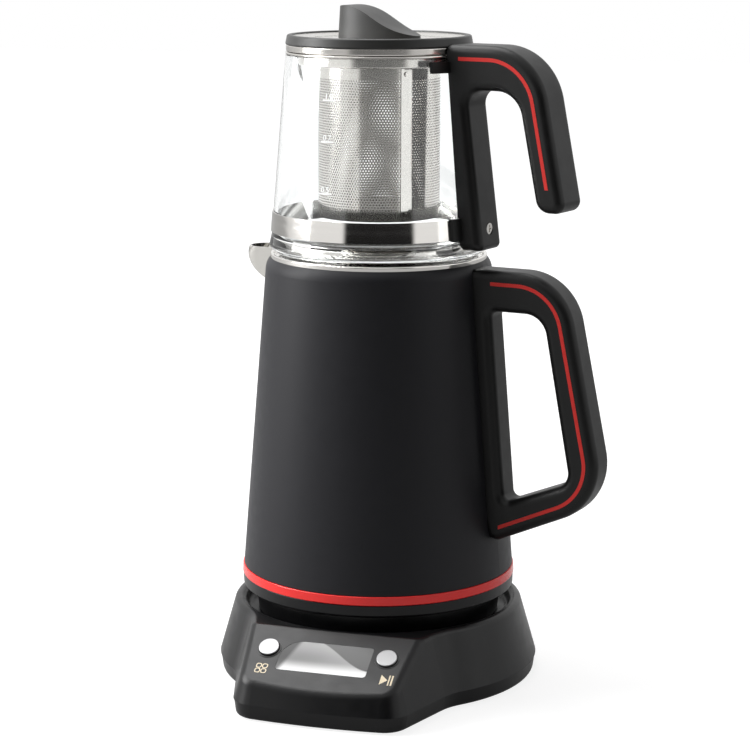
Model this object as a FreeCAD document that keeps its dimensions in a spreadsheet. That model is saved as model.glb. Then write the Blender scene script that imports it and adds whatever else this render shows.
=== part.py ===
"""Tea maker: a round power base with a control nose, a kettle, a glass teapot, a tea basket and a lid.

The origin is the kettle's axis on the table. +Z is up and the control panel faces -Y.
"""

import FreeCAD
import Part

import math
import os

SHEET = "Sizes"


class Size:
    """A length or an angle that carries both its formula in the sheet and its number."""

    def __init__(self, formula, number):
        self.formula = formula
        self.number = float(number)

    @staticmethod
    def of(thing):
        return thing if isinstance(thing, Size) else Size(repr(float(thing)), thing)

    def join(self, other, sign, number):
        return Size("(%s %s %s)" % (self.formula, sign, Size.of(other).formula), number)

    def __add__(self, other):
        return self.join(other, "+", self.number + float(other))

    def __sub__(self, other):
        return self.join(other, "-", self.number - float(other))

    def __mul__(self, other):
        return self.join(other, "*", self.number * float(other))

    def __truediv__(self, other):
        return self.join(other, "/", self.number / float(other))

    def __radd__(self, other):
        return Size.of(other) + self

    def __rsub__(self, other):
        return Size.of(other) - self

    def __rmul__(self, other):
        return Size.of(other) * self

    def __neg__(self):
        return Size("(0 - %s)" % self.formula, -self.number)

    def __float__(self):
        return self.number

    def sin(self):
        return Size("sin(%s)" % self.formula, math.sin(math.radians(self.number)))

    def cos(self):
        return Size("cos(%s)" % self.formula, math.cos(math.radians(self.number)))

    def tan(self):
        return Size("tan(%s)" % self.formula, math.tan(math.radians(self.number)))


# Driving dimensions in millimetres and degrees. Heights are above the table.
SIZES = {
    # power base
    "base_radius": 99.5,
    "base_seam_height": 10.5,
    "base_top_height": 46.8,
    "base_draft": 16.0,
    "base_wall": 2.4,
    "tray_draft": 8.0,
    "tray_clear": 0.8,
    "tray_round": 2.6,
    "seam_step": 0.3,
    "tray_floor": 2.4,
    "rim_round": 3.8,
    "dish_rim_radius": 86.4,
    "dish_round": 4.2,
    "dish_floor_height": 39.0,
    "nose_reach": 131.0,
    "nose_front_bulge": 5.2,
    "nose_half_width": 60.4,
    "nose_flare": 18.0,
    "nose_corner_radius": 17.0,
    "nose_blend_radius": 34.0,
    "panel_slope": 31.0,
    "panel_front_height": 22.0,
    "panel_setback": 3.6,
    "panel_edge_round": 6.0,
    "foot_outer_radius": 84.0,
    "foot_width": 7.0,
    "foot_height": 2.2,
    "connector_radius": 24.0,
    "connector_flange": 2.0,
    "connector_post_radius": 13.0,
    "connector_post_wall": 2.2,
    "connector_post_height": 9.5,
    "connector_pin_radius": 4.0,
    "connector_clear": 0.6,
    "gland_radius": 6.0,
    "gland_bore_radius": 3.3,
    "gland_length": 9.0,
    "gland_height": 19.0,
    # control panel
    "button_radius": 6.3,
    "button_height": 3.6,
    "button_proud": 1.6,
    "button_travel": 1.0,
    "button_clear": 0.25,
    "button_spread": 36.6,
    "button_up_panel": 30.2,
    "bezel_width": 0.9,
    "bezel_height": 1.2,
    "bezel_proud": 0.3,
    "stem_radius": 2.6,
    "stem_length": 2.2,
    "window_width": 56.0,
    "window_depth": 23.0,
    "window_thick": 1.2,
    "window_corner": 2.0,
    "window_big_corner": 13.0,
    "window_up_panel": 26.2,
    "window_shift": -1.0,
    "window_ledge": 2.0,
    "module_height": 5.5,
    "board_width": 96.0,
    "board_depth": 24.0,
    "board_thick": 1.6,
    "switch_side": 6.0,
    "screw_radius": 2.0,
    "screw_head_radius": 3.6,
    "screw_head_height": 2.2,
    "screw_ring_radius": 70.0,
    "boss_radius": 4.6,
    "power_board_length": 60.0,
    "power_board_width": 34.0,
    "relay_length": 20.0,
    "relay_width": 15.0,
    "relay_height": 12.0,
    # kettle
    "kettle_turn": -10.5,
    "kettle_foot_gap": 0.4,
    "kettle_foot_radius": 77.0,
    "kettle_ring_radius": 84.4,
    "kettle_ring_height": 55.2,
    "band_height": 62.8,
    "band_width": 5.5,
    "band_radius": 85.0,
    "band_thick": 1.3,
    "jacket_bottom_radius": 84.5,
    "jacket_shoulder_radius": 70.2,
    "jacket_shoulder_height": 243.0,
    "jacket_top_radius": 66.4,
    "jacket_top_height": 260.6,
    "jacket_wall": 1.2,
    "shoulder_radius": 11.0,
    "vessel_gap": 2.2,
    "vessel_wall": 0.8,
    "vessel_floor_height": 63.6,
    "vessel_floor_round": 8.0,
    "under_wall": 2.4,
    "heater_radius": 68.0,
    "heater_thick": 3.0,
    "element_ring_radius": 50.0,
    "element_radius": 3.4,
    "rim_height": 263.4,
    "rim_lip_radius": 66.2,
    "rim_seat_height": 261.3,
    "rim_step_radius": 63.6,
    "rim_mouth_radius": 54.0,
    "rim_sheet": 1.0,
    "spout_reach": 91.0,
    "spout_tip_height": 262.0,
    "spout_root_height": 241.0,
    "spout_half_width": 13.0,
    "spout_sheet": 1.2,
    # kettle handle, in the plane of the handle: reach from the axis and height
    "grip_width": 23.0,
    "grip_top_drop": 2.3,
    "grip_top_thick": 24.7,
    "grip_top_reach": 127.1,
    "grip_low_reach": 155.2,
    "grip_low_height": 123.8,
    "grip_bend_radius": 36.0,
    "grip_root_reach": 81.0,
    "grip_root_height": 91.0,
    "grip_root_radius": 7.0,
    "gap_top_near_reach": 79.7,
    "gap_top_far_reach": 113.3,
    "gap_top_radius": 14.0,
    "gap_low_far_reach": 132.0,
    "gap_low_far_height": 134.2,
    "gap_low_far_radius": 9.0,
    "gap_low_near_reach": 89.6,
    "gap_low_near_height": 117.0,
    "gap_near_radius": 4.0,
    "grip_outer_round": 5.2,
    "grip_inner_round": 5.4,
    "cover_depth": 3.8,
    "inlay_inset": 6.5,
    "inlay_width": 2.2,
    "inlay_depth": 0.9,
    "inlay_proud": 0.15,
    "inlay_top_start": 80.5,
    "inlay_low_end": 87.5,
    "grip_seat_gap": 0.1,
    "grip_screw_low_height": 106.0,
    "grip_screw_top_height": 246.0,
    "grip_screw_length": 12.0,
    # teapot
    "teapot_turn": -15.0,
    "glass_foot_height": 261.6,
    "glass_foot_radius": 60.0,
    "glass_bulge_radius": 67.2,
    "glass_bulge_height": 267.6,
    "glass_waist_radius": 65.6,
    "glass_waist_height": 274.5,
    "glass_rim_radius": 56.6,
    "glass_rim_height": 383.0,
    "glass_wall": 2.6,
    "glass_floor": 5.0,
    "lip_reach": 66.0,
    "lip_drop": 9.0,
    "lip_half_width": 12.0,
    "teapot_band_height": 276.9,
    "teapot_band_width": 12.0,
    "teapot_band_thick": 0.6,
    "hook_width": 28.0,
    "hook_top_height": 391.2,
    "hook_top_reach": 114.0,
    "hook_tip_reach": 133.4,
    "hook_tip_height": 296.0,
    "hook_bend_radius": 38.0,
    "hook_tip_radius": 6.0,
    "hook_tip_inner_reach": 115.2,
    "hook_tip_inner_radius": 9.0,
    "hook_gap_height": 365.0,
    "hook_gap_far_reach": 101.0,
    "hook_gap_far_radius": 17.0,
    "hook_gap_near_reach": 66.8,
    "hook_gap_near_radius": 9.0,
    "column_foot_height": 270.4,
    "column_foot_reach": 79.2,
    "column_foot_radius": 3.0,
    "hook_outer_round": 5.0,
    "hook_inlay_inset": 6.9,
    "hook_inlay_top_start": 63.0,
    "hook_inlay_end_height": 310.0,
    "bracket_thick": 2.2,
    "bracket_spread": 42.0,
    "collar_spread": 52.0,
    "collar_height": 6.6,
    "collar_drop": 8.2,
    "column_screw_height": 283.0,
    "column_screw_head_radius": 3.4,
    # basket
    "basket_flange_radius": 56.4,
    "basket_flange_thick": 1.6,
    "basket_collar_radius": 49.0,
    "basket_collar_drop": 7.6,
    "basket_radius": 37.0,
    "basket_sheet": 0.7,
    "basket_bottom_height": 286.0,
    "basket_rim_band": 5.0,
    "strip_width": 7.0,
    "rivet_radius": 1.6,
    "strip_turn": -47.6,
    # lid
    "lid_radius": 56.4,
    "lid_height": 389.2,
    "lid_ring_height": 5.8,
    "lid_ring_width": 4.2,
    "lid_ring_round": 1.2,
    "lid_plate_drop": 0.8,
    "lid_plate_thick": 1.0,
    "lid_skirt_radius": 46.4,
    "lid_skirt_depth": 6.4,
    "lid_lip_radius": 56.2,
    "lid_lip_height": 385.2,
    "knob_length": 54.0,
    "knob_width": 28.0,
    "knob_high": 412.3,
    "knob_low": 394.0,
    "knob_shift": 0.2,
    "knob_taper": 1.5,
    "lid_screw_radius": 2.0,
    # clearances between parts that lift apart
    "lift_clear": 0.35,
    "seat_clear": 0.3,
}


def make_sheet(doc):
    """Write every driving dimension to the sheet and return them as named sizes."""
    sheet = doc.addObject("Spreadsheet::Sheet", SHEET)
    named = {}
    for row, (alias, number) in enumerate(SIZES.items(), start=1):
        sheet.set("A%d" % row, alias)
        sheet.set("B%d" % row, str(number))
        sheet.setAlias("B%d" % row, alias)
        named[alias] = Size("%s.%s" % (SHEET, alias), number)
    doc.recompute()
    return named


class Sizes:
    """The sheet's sizes as attributes."""

    def __init__(self, named):
        self.__dict__.update(named)


doc = FreeCAD.newDocument("tea_maker")
s = Sizes(make_sheet(doc))
parts = []


def bind(thing, path, size):
    """Bind one property to the sheet."""
    thing.setExpression(path, Size.of(size).formula)


def origin_plane(body, role):
    return [o for o in body.Origin.OriginFeatures if o.Role == role][0]


def new_body(name):
    return doc.addObject("PartDesign::Body", name)


def finish(thing, label, turn=None):
    """Name a sub-part, turn it about the vertical axis and list it for export."""
    thing.Label = label
    axis = FreeCAD.Vector(0, 0, 1)
    if turn is not None:
        thing.Placement = FreeCAD.Placement(FreeCAD.Vector(), FreeCAD.Rotation(axis, turn.number))
        bind(thing, "Placement.Rotation.Angle", turn)
    parts.append(thing)
    return thing


def flat_vector(point):
    return FreeCAD.Vector(float(point[0]), float(point[1]), 0)


def new_sketch(body, name, role, lift=None):
    """An empty sketch on one of the body's origin planes, lifted along its normal."""
    sketch = body.newObject("Sketcher::SketchObject", name)
    sketch.AttachmentSupport = (origin_plane(body, role), [""])
    sketch.MapMode = "FlatFace"
    if lift is not None:
        sketch.AttachmentOffset = FreeCAD.Placement(FreeCAD.Vector(0, 0, float(lift)), FreeCAD.Rotation())
        bind(sketch, "AttachmentOffset.Base.z", lift)
    return sketch


def pin_point(sketch, item, end, point):
    """Fix one point of a sketch at a named place."""
    import Sketcher

    for kind, size in (("DistanceX", point[0]), ("DistanceY", point[1])):
        size = Size.of(size)
        index = sketch.addConstraint(Sketcher.Constraint(kind, -1, 1, item, end, size.number))
        sketch.setExpression("Constraints[%d]" % index, size.formula)


def corner_arc(before, corner, after, radius):
    """The start, middle and end of an arc that rounds a corner."""
    towards_before = (before - corner).normalize()
    towards_after = (after - corner).normalize()
    half = towards_before.getAngle(towards_after) / 2
    run = radius / math.tan(half)
    inward = (towards_before + towards_after).normalize()
    middle = corner + inward * (radius / math.sin(half) - radius)
    return corner + towards_before * run, middle, corner + towards_after * run


def draw_outline(sketch, corners):
    """Draw a closed outline of straight runs; a corner with a third value is rounded by that radius."""
    import Sketcher

    spots = [flat_vector(c) for c in corners]
    radii = [Size.of(c[2]) if len(c) > 2 else None for c in corners]
    count = len(corners)
    starts, ends, arcs = [], [], {}
    for i in range(count):
        if radii[i] is None:
            starts.append(spots[i])
            ends.append(spots[i])
            continue
        arcs[i] = corner_arc(spots[i - 1], spots[i], spots[(i + 1) % count], radii[i].number)
        ends.append(arcs[i][0])
        starts.append(arcs[i][2])
    lines = [sketch.addGeometry(Part.LineSegment(starts[i], ends[(i + 1) % count])) for i in range(count)]
    for i in range(count):
        before = lines[i - 1]
        if radii[i] is None:
            sketch.addConstraint(Sketcher.Constraint("Coincident", before, 2, lines[i], 1))
            pin_point(sketch, lines[i], 1, corners[i])
            continue
        arc = sketch.addGeometry(Part.Arc(*arcs[i]))
        into, out = (1, 2) if arc_starts_at(sketch, arc, arcs[i][0]) else (2, 1)
        sketch.addConstraint(Sketcher.Constraint("Tangent", before, 2, arc, into))
        sketch.addConstraint(Sketcher.Constraint("Tangent", arc, out, lines[i], 1))
        index = sketch.addConstraint(Sketcher.Constraint("Radius", arc, radii[i].number))
        sketch.setExpression("Constraints[%d]" % index, radii[i].formula)
        mark = sketch.addGeometry(Part.Point(spots[i]), True)
        pin_point(sketch, mark, 1, corners[i])
        sketch.addConstraint(Sketcher.Constraint("PointOnObject", mark, 1, before))
        sketch.addConstraint(Sketcher.Constraint("PointOnObject", mark, 1, lines[i]))


def arc_starts_at(sketch, arc, spot):
    return (sketch.getPoint(arc, 1) - spot).Length < (sketch.getPoint(arc, 2) - spot).Length


def outline(body, name, role, corners, lift=None):
    sketch = new_sketch(body, name, role, lift)
    draw_outline(sketch, corners)
    return sketch


def circle_sketch(body, name, role, radius, centre=(0, 0), lift=None, inner=None):
    """One circle, or two for a ring."""
    import Sketcher

    sketch = new_sketch(body, name, role, lift)
    for size in [radius] + ([inner] if inner is not None else []):
        item = sketch.addGeometry(Part.Circle(flat_vector(centre), FreeCAD.Vector(0, 0, 1), float(size)))
        pin_point(sketch, item, 3, centre)
        index = sketch.addConstraint(Sketcher.Constraint("Radius", item, float(size)))
        sketch.setExpression("Constraints[%d]" % index, Size.of(size).formula)
    return sketch


def pad(body, name, sketch, length, both_ways=False, taper=None, reverse=False, kind="PartDesign::Pad"):
    feature = body.newObject(kind, name)
    feature.Profile = sketch
    bind(feature, "Length", length)
    if both_ways:
        feature.SideType = "Symmetric"
    if taper is not None:
        bind(feature, "TaperAngle", taper)
    feature.Reversed = reverse
    return feature


def pocket(body, name, sketch, length, **options):
    return pad(body, name, sketch, length, kind="PartDesign::Pocket", **options)


def revolve(body, name, sketch, kind="PartDesign::Revolution"):
    feature = body.newObject(kind, name)
    feature.Profile = sketch
    feature.ReferenceAxis = (sketch, ["V_Axis"])
    feature.Angle = 360
    return feature


def turned(name, corners):
    """A body turned about the vertical axis from one closed profile of reach and height."""
    body = new_body(name)
    revolve(body, name + "_turn", outline(body, name + "_profile", "XZ_Plane", corners))
    return body


def round_edges(body, name, base, edges, radius, kind="PartDesign::Fillet"):
    """Round or bevel a list of edge names of one feature."""
    feature = body.newObject(kind, name)
    feature.Base = (base, edges)
    bind(feature, "Radius" if kind.endswith("Fillet") else "Size", radius)
    return feature


def edges_where(shape, test):
    return ["Edge%d" % (i + 1) for i, edge in enumerate(shape.Edges) if test(edge)]


def place(thing, origin, tilt=None, axis=(1, 0, 0)):
    """Place an object at a named point, tilted about one axis."""
    turn = FreeCAD.Rotation(FreeCAD.Vector(*axis), float(tilt) if tilt is not None else 0)
    thing.Placement = FreeCAD.Placement(FreeCAD.Vector(*[float(c) for c in origin]), turn)
    for letter, size in zip("xyz", origin):
        bind(thing, "Placement.Base.%s" % letter, size)
    if tilt is not None:
        bind(thing, "Placement.Rotation.Angle", tilt)
    return thing


def cylinder(name, radius, height):
    thing = doc.addObject("Part::Cylinder", name)
    bind(thing, "Radius", radius)
    bind(thing, "Height", height)
    return thing


def box(name, length, width, height):
    thing = doc.addObject("Part::Box", name)
    bind(thing, "Length", length)
    bind(thing, "Width", width)
    bind(thing, "Height", height)
    return thing


def fuse(name, *things):
    thing = doc.addObject("Part::MultiFuse", name)
    thing.Shapes = list(things)
    return thing


def cut(name, base, *tools):
    thing = doc.addObject("Part::Cut", name)
    thing.Base = base
    thing.Tool = tools[0] if len(tools) == 1 else fuse(name + "_tools", *tools)
    return thing


def feature(name, shape):
    """An object whose shape is made with Part's own functions."""
    thing = doc.addObject("Part::Feature", name)
    thing.Shape = shape
    return thing


def copy_of(name, thing):
    """A second user of a shape, so that each boolean has its own operand."""
    link = doc.addObject("Part::Compound", name)
    link.Links = [thing]
    return link


# Power base: plan outline


def nose_geometry(inset):
    """The base's plan outline, a disc with a flared nose, as arcs and lines pulled in by an inset."""
    pull = float(inset)
    disc = s.base_radius.number - pull
    flare = math.radians(s.nose_flare.number)
    corner = s.nose_corner_radius.number - pull
    blend = s.nose_blend_radius.number + pull
    reach = s.nose_reach.number - pull
    bulge = s.nose_front_bulge.number
    # the side wall runs along "along" and faces "out"; nose_half_width is its reach at the panel's middle
    along = FreeCAD.Vector(math.sin(flare), math.cos(flare), 0)
    out = FreeCAD.Vector(math.cos(flare), -math.sin(flare), 0)
    middle = FreeCAD.Vector(s.nose_half_width.number, -(s.dish_rim_radius.number + 11.0), 0) - out * pull
    wall = middle.dot(out)
    # front arc: through the nose's tip and lower by the bulge at the side wall
    half_span = s.nose_half_width.number
    front = (half_span**2 + bulge**2) / (2 * bulge)
    front_centre = FreeCAD.Vector(0, front - reach, 0)
    # corner arc: inside the side wall and inside the front arc
    level = wall - corner
    foot = front_centre.dot(out)
    across = level - foot
    down = math.sqrt((front - corner) ** 2 - across**2)
    corner_centre = front_centre + out * across - along * down
    corner_side = corner_centre + out * corner
    corner_front = front_centre + (corner_centre - front_centre).normalize() * front
    # blend arc: outside the side wall and outside the disc
    level = wall + blend
    down = math.sqrt((disc + blend) ** 2 - level**2)
    blend_centre = out * level - along * down
    blend_side = blend_centre - out * blend
    blend_disc = blend_centre * (disc / blend_centre.Length)

    def mirrored(point):
        return FreeCAD.Vector(-point.x, point.y, 0)

    def arc(start, end, centre, radius):
        chord = ((start + end) / 2 - centre).normalize() * radius
        return Part.Arc(start, centre + chord, end)

    right = [
        arc(corner_front, corner_side, corner_centre, corner),
        Part.LineSegment(corner_side, blend_side),
        arc(blend_side, blend_disc, blend_centre, blend),
    ]
    left = [
        arc(mirrored(blend_disc), mirrored(blend_side), mirrored(blend_centre), blend),
        Part.LineSegment(mirrored(blend_side), mirrored(corner_side)),
        arc(mirrored(corner_side), mirrored(corner_front), mirrored(corner_centre), corner),
    ]
    back = Part.Arc(blend_disc, FreeCAD.Vector(0, disc, 0), mirrored(blend_disc))
    tip = Part.Arc(mirrored(corner_front), FreeCAD.Vector(0, -reach, 0), corner_front)
    return right + [back] + left + [tip]


def plan_sketch(body, name, lift, inset):
    """The plan outline as a sketch at one height."""
    import Sketcher

    sketch = new_sketch(body, name, "XY_Plane", lift)
    items = [sketch.addGeometry(piece) for piece in nose_geometry(inset)]
    radii = {0: s.nose_corner_radius - inset, 2: s.nose_blend_radius + inset, 3: s.base_radius - inset}
    for index, size in radii.items():
        number = sketch.addConstraint(Sketcher.Constraint("Radius", items[index], float(size)))
        sketch.setExpression("Constraints[%d]" % number, size.formula)
    return sketch


panel_reach = s.nose_reach - s.panel_setback


def base_form(name, inset, low, high):
    """The base's upper body: drafted plan outline, sloped panel and round dish, pulled in by an inset."""
    body = new_body(name)
    rise = high - low
    plan = plan_sketch(body, name + "_plan", low, inset)
    block = pad(body, name + "_walls", plan, rise, taper=-s.base_draft)
    slope = s.panel_slope.tan()
    shelf = s.panel_front_height - inset / s.panel_slope.cos()
    near = s.nose_reach + 20
    far = s.dish_rim_radius - 30
    panel = outline(
        body,
        name + "_panel_side",
        "YZ_Plane",
        [
            (-near, shelf - (near - panel_reach) * slope),
            (-far, shelf + (panel_reach - far) * slope),
            (-far, high + 40),
            (-near, high + 40),
        ],
    )
    pocket(body, name + "_panel", panel, 4 * s.nose_half_width, both_ways=True)
    doc.recompute()
    return body, block


def dish_profile(inset):
    """The dish in the base's top, grown by an inset, with a rounded rim."""
    top = s.base_top_height - inset + 0.05
    wall = s.dish_rim_radius - s.dish_round + inset
    return [
        (0, s.dish_floor_height - inset),
        (wall, s.dish_floor_height - inset, 3.0),
        (wall, top, s.dish_round - inset),
        (s.dish_rim_radius + 0.5, top),
        (s.dish_rim_radius + 0.5, top + 8),
        (0, top + 8),
    ]


def base_outer():
    body, _ = base_form("base_outer", Size.of(0), s.base_seam_height, s.base_top_height)
    base = body.Tip
    wanted = edges_where(base.Shape, on_panel_front)
    base = round_edges(body, "panel_edge_round", base, wanted, s.panel_edge_round)
    doc.recompute()
    round_edges(body, "rim_round", base, edges_where(base.Shape, on_rim), s.rim_round)
    doc.recompute()
    dish = outline(body, "dish_side", "XZ_Plane", dish_profile(Size.of(0)))
    revolve(body, "dish", dish, "PartDesign::Groove")
    doc.recompute()
    return body


def on_panel(edge):
    """True for an edge that lies in the sloped panel."""
    slope = math.tan(math.radians(s.panel_slope.number))
    for vertex in edge.Vertexes:
        height = s.panel_front_height.number + (panel_reach.number + vertex.Point.y) * slope
        if abs(vertex.Point.z - height) > 0.02:
            return False
    return True


def on_rim(edge):
    """True for an edge round the base's flat top, the panel's own edge left out."""
    top = s.base_top_height.number
    flat = abs(edge.BoundBox.ZMin - top) < 0.01 and abs(edge.BoundBox.ZMax - top) < 0.01
    return flat and not on_panel(edge)


def on_panel_front(edge):
    """True for the panel's edges along the nose, away from the dish."""
    return on_panel(edge) and edge.BoundBox.YMin < -s.dish_rim_radius.number - 4


def across_panel(reach, up_panel, depth):
    """A point of the panel: sideways, up the slope from its front edge, and below its face."""
    slope = s.panel_slope
    return (
        Size.of(reach),
        up_panel * slope.cos() - panel_reach + depth * slope.sin(),
        s.panel_front_height + up_panel * slope.sin() - depth * slope.cos(),
    )


def panel_cylinder(name, radius, reach, up_panel, depth, height):
    """A cylinder square to the panel that starts below its face and runs outwards."""
    return place(cylinder(name, radius, height), across_panel(reach, up_panel, depth), s.panel_slope)


def panel_plate(name, width, run, depth, thick, reach, up_panel):
    """A plate parallel to the panel, centred on a point of it."""
    plate = box(name, width, run, thick)
    return place(plate, across_panel(reach - width / 2, up_panel - run / 2, depth), s.panel_slope)


SIDES = {"left": -1, "right": 1}


# Power base


def make_window(name, grow, depth, thick):
    """The display's outline, a plate with one large rounded corner, square to the panel."""
    body = new_body(name)
    half = s.window_width / 2 + grow
    run = s.window_depth / 2 + grow
    corners = [
        (s.window_shift - half, -run, s.window_corner),
        (s.window_shift + half, -run, s.window_corner),
        (s.window_shift + half, run, s.window_corner),
        (s.window_shift - half, run, s.window_big_corner),
    ]
    pad(body, name + "_plate", outline(body, name + "_edge", "XY_Plane", corners), thick)
    return place(body, across_panel(Size.of(0), s.window_up_panel, depth), s.panel_slope)


outer = base_outer()
cavity, _ = base_form("base_cavity", s.base_wall, s.base_seam_height, s.base_top_height - s.base_wall)
inner_dish = outline(cavity, "inner_dish_side", "XZ_Plane", dish_profile(s.base_wall))
revolve(cavity, "inner_dish", inner_dish, "PartDesign::Groove")
holes = [cavity]
for side, sign in SIDES.items():
    holes.append(
        panel_cylinder(
            "button_hole_" + side,
            s.button_radius + s.button_clear,
            sign * s.button_spread,
            s.button_up_panel,
            Size.of(8),
            Size.of(16),
        )
    )
    holes.append(
        panel_cylinder(
            "bezel_seat_" + side,
            s.button_radius + s.button_clear + s.bezel_width,
            sign * s.button_spread,
            s.button_up_panel,
            s.bezel_height - s.bezel_proud,
            Size.of(8),
        )
    )
holes.append(make_window("window_seat", Size.of(0), s.window_thick, Size.of(6)))
holes.append(make_window("window_hole", -s.window_ledge, Size.of(8), Size.of(12)))
connector_hole = place(
    cylinder("connector_hole", s.connector_radius - 4, 3 * s.base_wall),
    (0, 0, s.dish_floor_height - 2 * s.base_wall),
)
holes.append(connector_hole)
gland_tool = place(
    cylinder("gland_hole", s.gland_radius, 4 * s.gland_length),
    (0, s.base_radius - 3 * s.gland_length, s.gland_height),
    Size.of(-90),
)
holes.append(gland_tool)
finish(cut("base_top_shell", outer, *holes), "base_top_shell")

# Bottom tray: the same plan outline, drafted the other way, open at the top


def tray_form(name, inset, low, corner):
    """The tray's form below the seam, drafted inwards, with its lower edge rounded."""
    body = new_body(name)
    top = s.base_seam_height
    plan = plan_sketch(body, name + "_plan", top, inset)
    walls = pad(body, name + "_walls", plan, top - low, taper=-s.tray_draft, reverse=True)
    doc.recompute()
    level = low.number
    lowest = edges_where(walls.Shape, lambda e: abs(e.BoundBox.ZMax - level) < 0.01)
    round_edges(body, name + "_round", walls, lowest, corner)
    return body


tray_outer = tray_form("tray_outer", s.seam_step, s.tray_clear, s.tray_round)
tray_inner = tray_form("tray_inner", s.seam_step + s.base_wall, s.tray_clear + s.tray_floor, s.tray_round / 2)
foot_seat = turned(
    "foot_seat",
    [
        (s.foot_outer_radius - s.foot_width, 0),
        (s.foot_outer_radius, 0),
        (s.foot_outer_radius, s.foot_height),
        (s.foot_outer_radius - s.foot_width, s.foot_height),
    ],
)
screw_spots = [(math.cos(math.radians(a)), math.sin(math.radians(a))) for a in (45, 135, 225, 315)]
bosses, bores, heads = [], [], []
for number, (cx, cy) in enumerate(screw_spots, start=1):
    spot = (cx * s.screw_ring_radius, cy * s.screw_ring_radius)
    shell_floor = s.dish_floor_height - s.base_wall
    bosses.append(
        place(
            cylinder("tray_boss_%d" % number, s.boss_radius, s.base_seam_height - s.tray_clear),
            spot + (s.tray_clear,),
        )
    )
    bores.append(place(cylinder("tray_bore_%d" % number, s.screw_radius, Size.of(30)), spot + (Size.of(-5),)))
    sink_depth = s.screw_head_height + s.tray_clear + 0.45
    sink = cylinder("tray_sink_%d" % number, s.screw_head_radius + 0.3, sink_depth)
    heads.append(place(sink, spot + (Size.of(0),)))
tray_body = fuse("tray_body", cut("tray_hollow", tray_outer, tray_inner), *bosses)
tray = cut("base_tray", tray_body, foot_seat, *bores, *heads)
finish(tray, "base_tray")
foot_ring = turned(
    "foot_ring_body",
    [
        (s.foot_outer_radius - s.foot_width, 0, 0.6),
        (s.foot_outer_radius, 0, 0.6),
        (s.foot_outer_radius, s.foot_height),
        (s.foot_outer_radius - s.foot_width, s.foot_height),
    ],
)
finish(foot_ring, "foot_ring")
screws, pillars = [], []
for number, (cx, cy) in enumerate(screw_spots, start=1):
    spot = (cx * s.screw_ring_radius, cy * s.screw_ring_radius)
    low = s.tray_clear + 0.4
    head = place(cylinder("screw_head_%d" % number, s.screw_head_radius, s.screw_head_height), spot + (low,))
    shank = place(cylinder("screw_shank_%d" % number, s.screw_radius, Size.of(16)), spot + (low,))
    screws.append(fuse("base_screw_%d" % number, head, shank))
    pillar = place(
        cylinder("pillar_%d" % number, s.boss_radius, s.dish_floor_height - s.base_wall - s.base_seam_height),
        spot + (s.base_seam_height,),
    )
    pillar_bore = cylinder("pillar_bore_%d" % number, s.screw_radius, Size.of(8))
    hole = place(pillar_bore, spot + (s.base_seam_height,))
    pillars.append(cut("screw_pillar_%d" % number, pillar, hole))


def group(label, things, turn=None):
    """Several like pieces that share one node."""
    thing = doc.addObject("Part::Compound", label)
    thing.Links = list(things)
    return finish(thing, label, turn)


group("base_screws", screws)
group("screw_pillars", pillars)
gland = turned(
    "gland_body",
    [
        (s.gland_bore_radius, 0),
        (s.gland_radius - 0.1, 0),
        (s.gland_radius - 0.1, s.gland_length - 2),
        (s.gland_radius + 1.2, s.gland_length - 2),
        (s.gland_radius + 1.2, s.gland_length, 0.6),
        (s.gland_bore_radius, s.gland_length),
    ],
)
gland_wall = s.base_radius - (s.gland_height - s.base_seam_height) * s.base_draft.tan()
gland_reach = gland_wall + 2.8 - s.gland_length + 2
place(gland, (0, gland_reach, s.gland_height), Size.of(-90))
finish(gland, "cord_gland")

# Connector of the base: flange in the dish floor, round post, centre pin
floor = s.dish_floor_height
post_top = floor + s.connector_post_height
connector = turned(
    "connector_body",
    [
        (s.connector_pin_radius + 3.0, floor + 1),
        (s.connector_post_radius - s.connector_post_wall, floor + 1),
        (s.connector_post_radius - s.connector_post_wall, post_top, 0.5),
        (s.connector_post_radius, post_top, 0.8),
        (s.connector_post_radius, floor + s.connector_flange * 0.4),
        (s.connector_radius - 4.2, floor + s.connector_flange * 0.4),
        (s.connector_radius - 4.2, floor - s.base_wall - 3),
        (s.connector_pin_radius + 3.0, floor - s.base_wall - 3),
    ],
)
finish(connector, "power_connector")
pin = turned(
    "pin_body",
    [
        (0, floor - s.base_wall - 3),
        (s.connector_pin_radius + 3.0, floor - s.base_wall - 3),
        (s.connector_pin_radius + 3.0, floor + 1),
        (s.connector_pin_radius, floor + 1),
        (s.connector_pin_radius, post_top, 1.2),
        (0, post_top),
    ],
)
finish(pin, "connector_pin")

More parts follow.
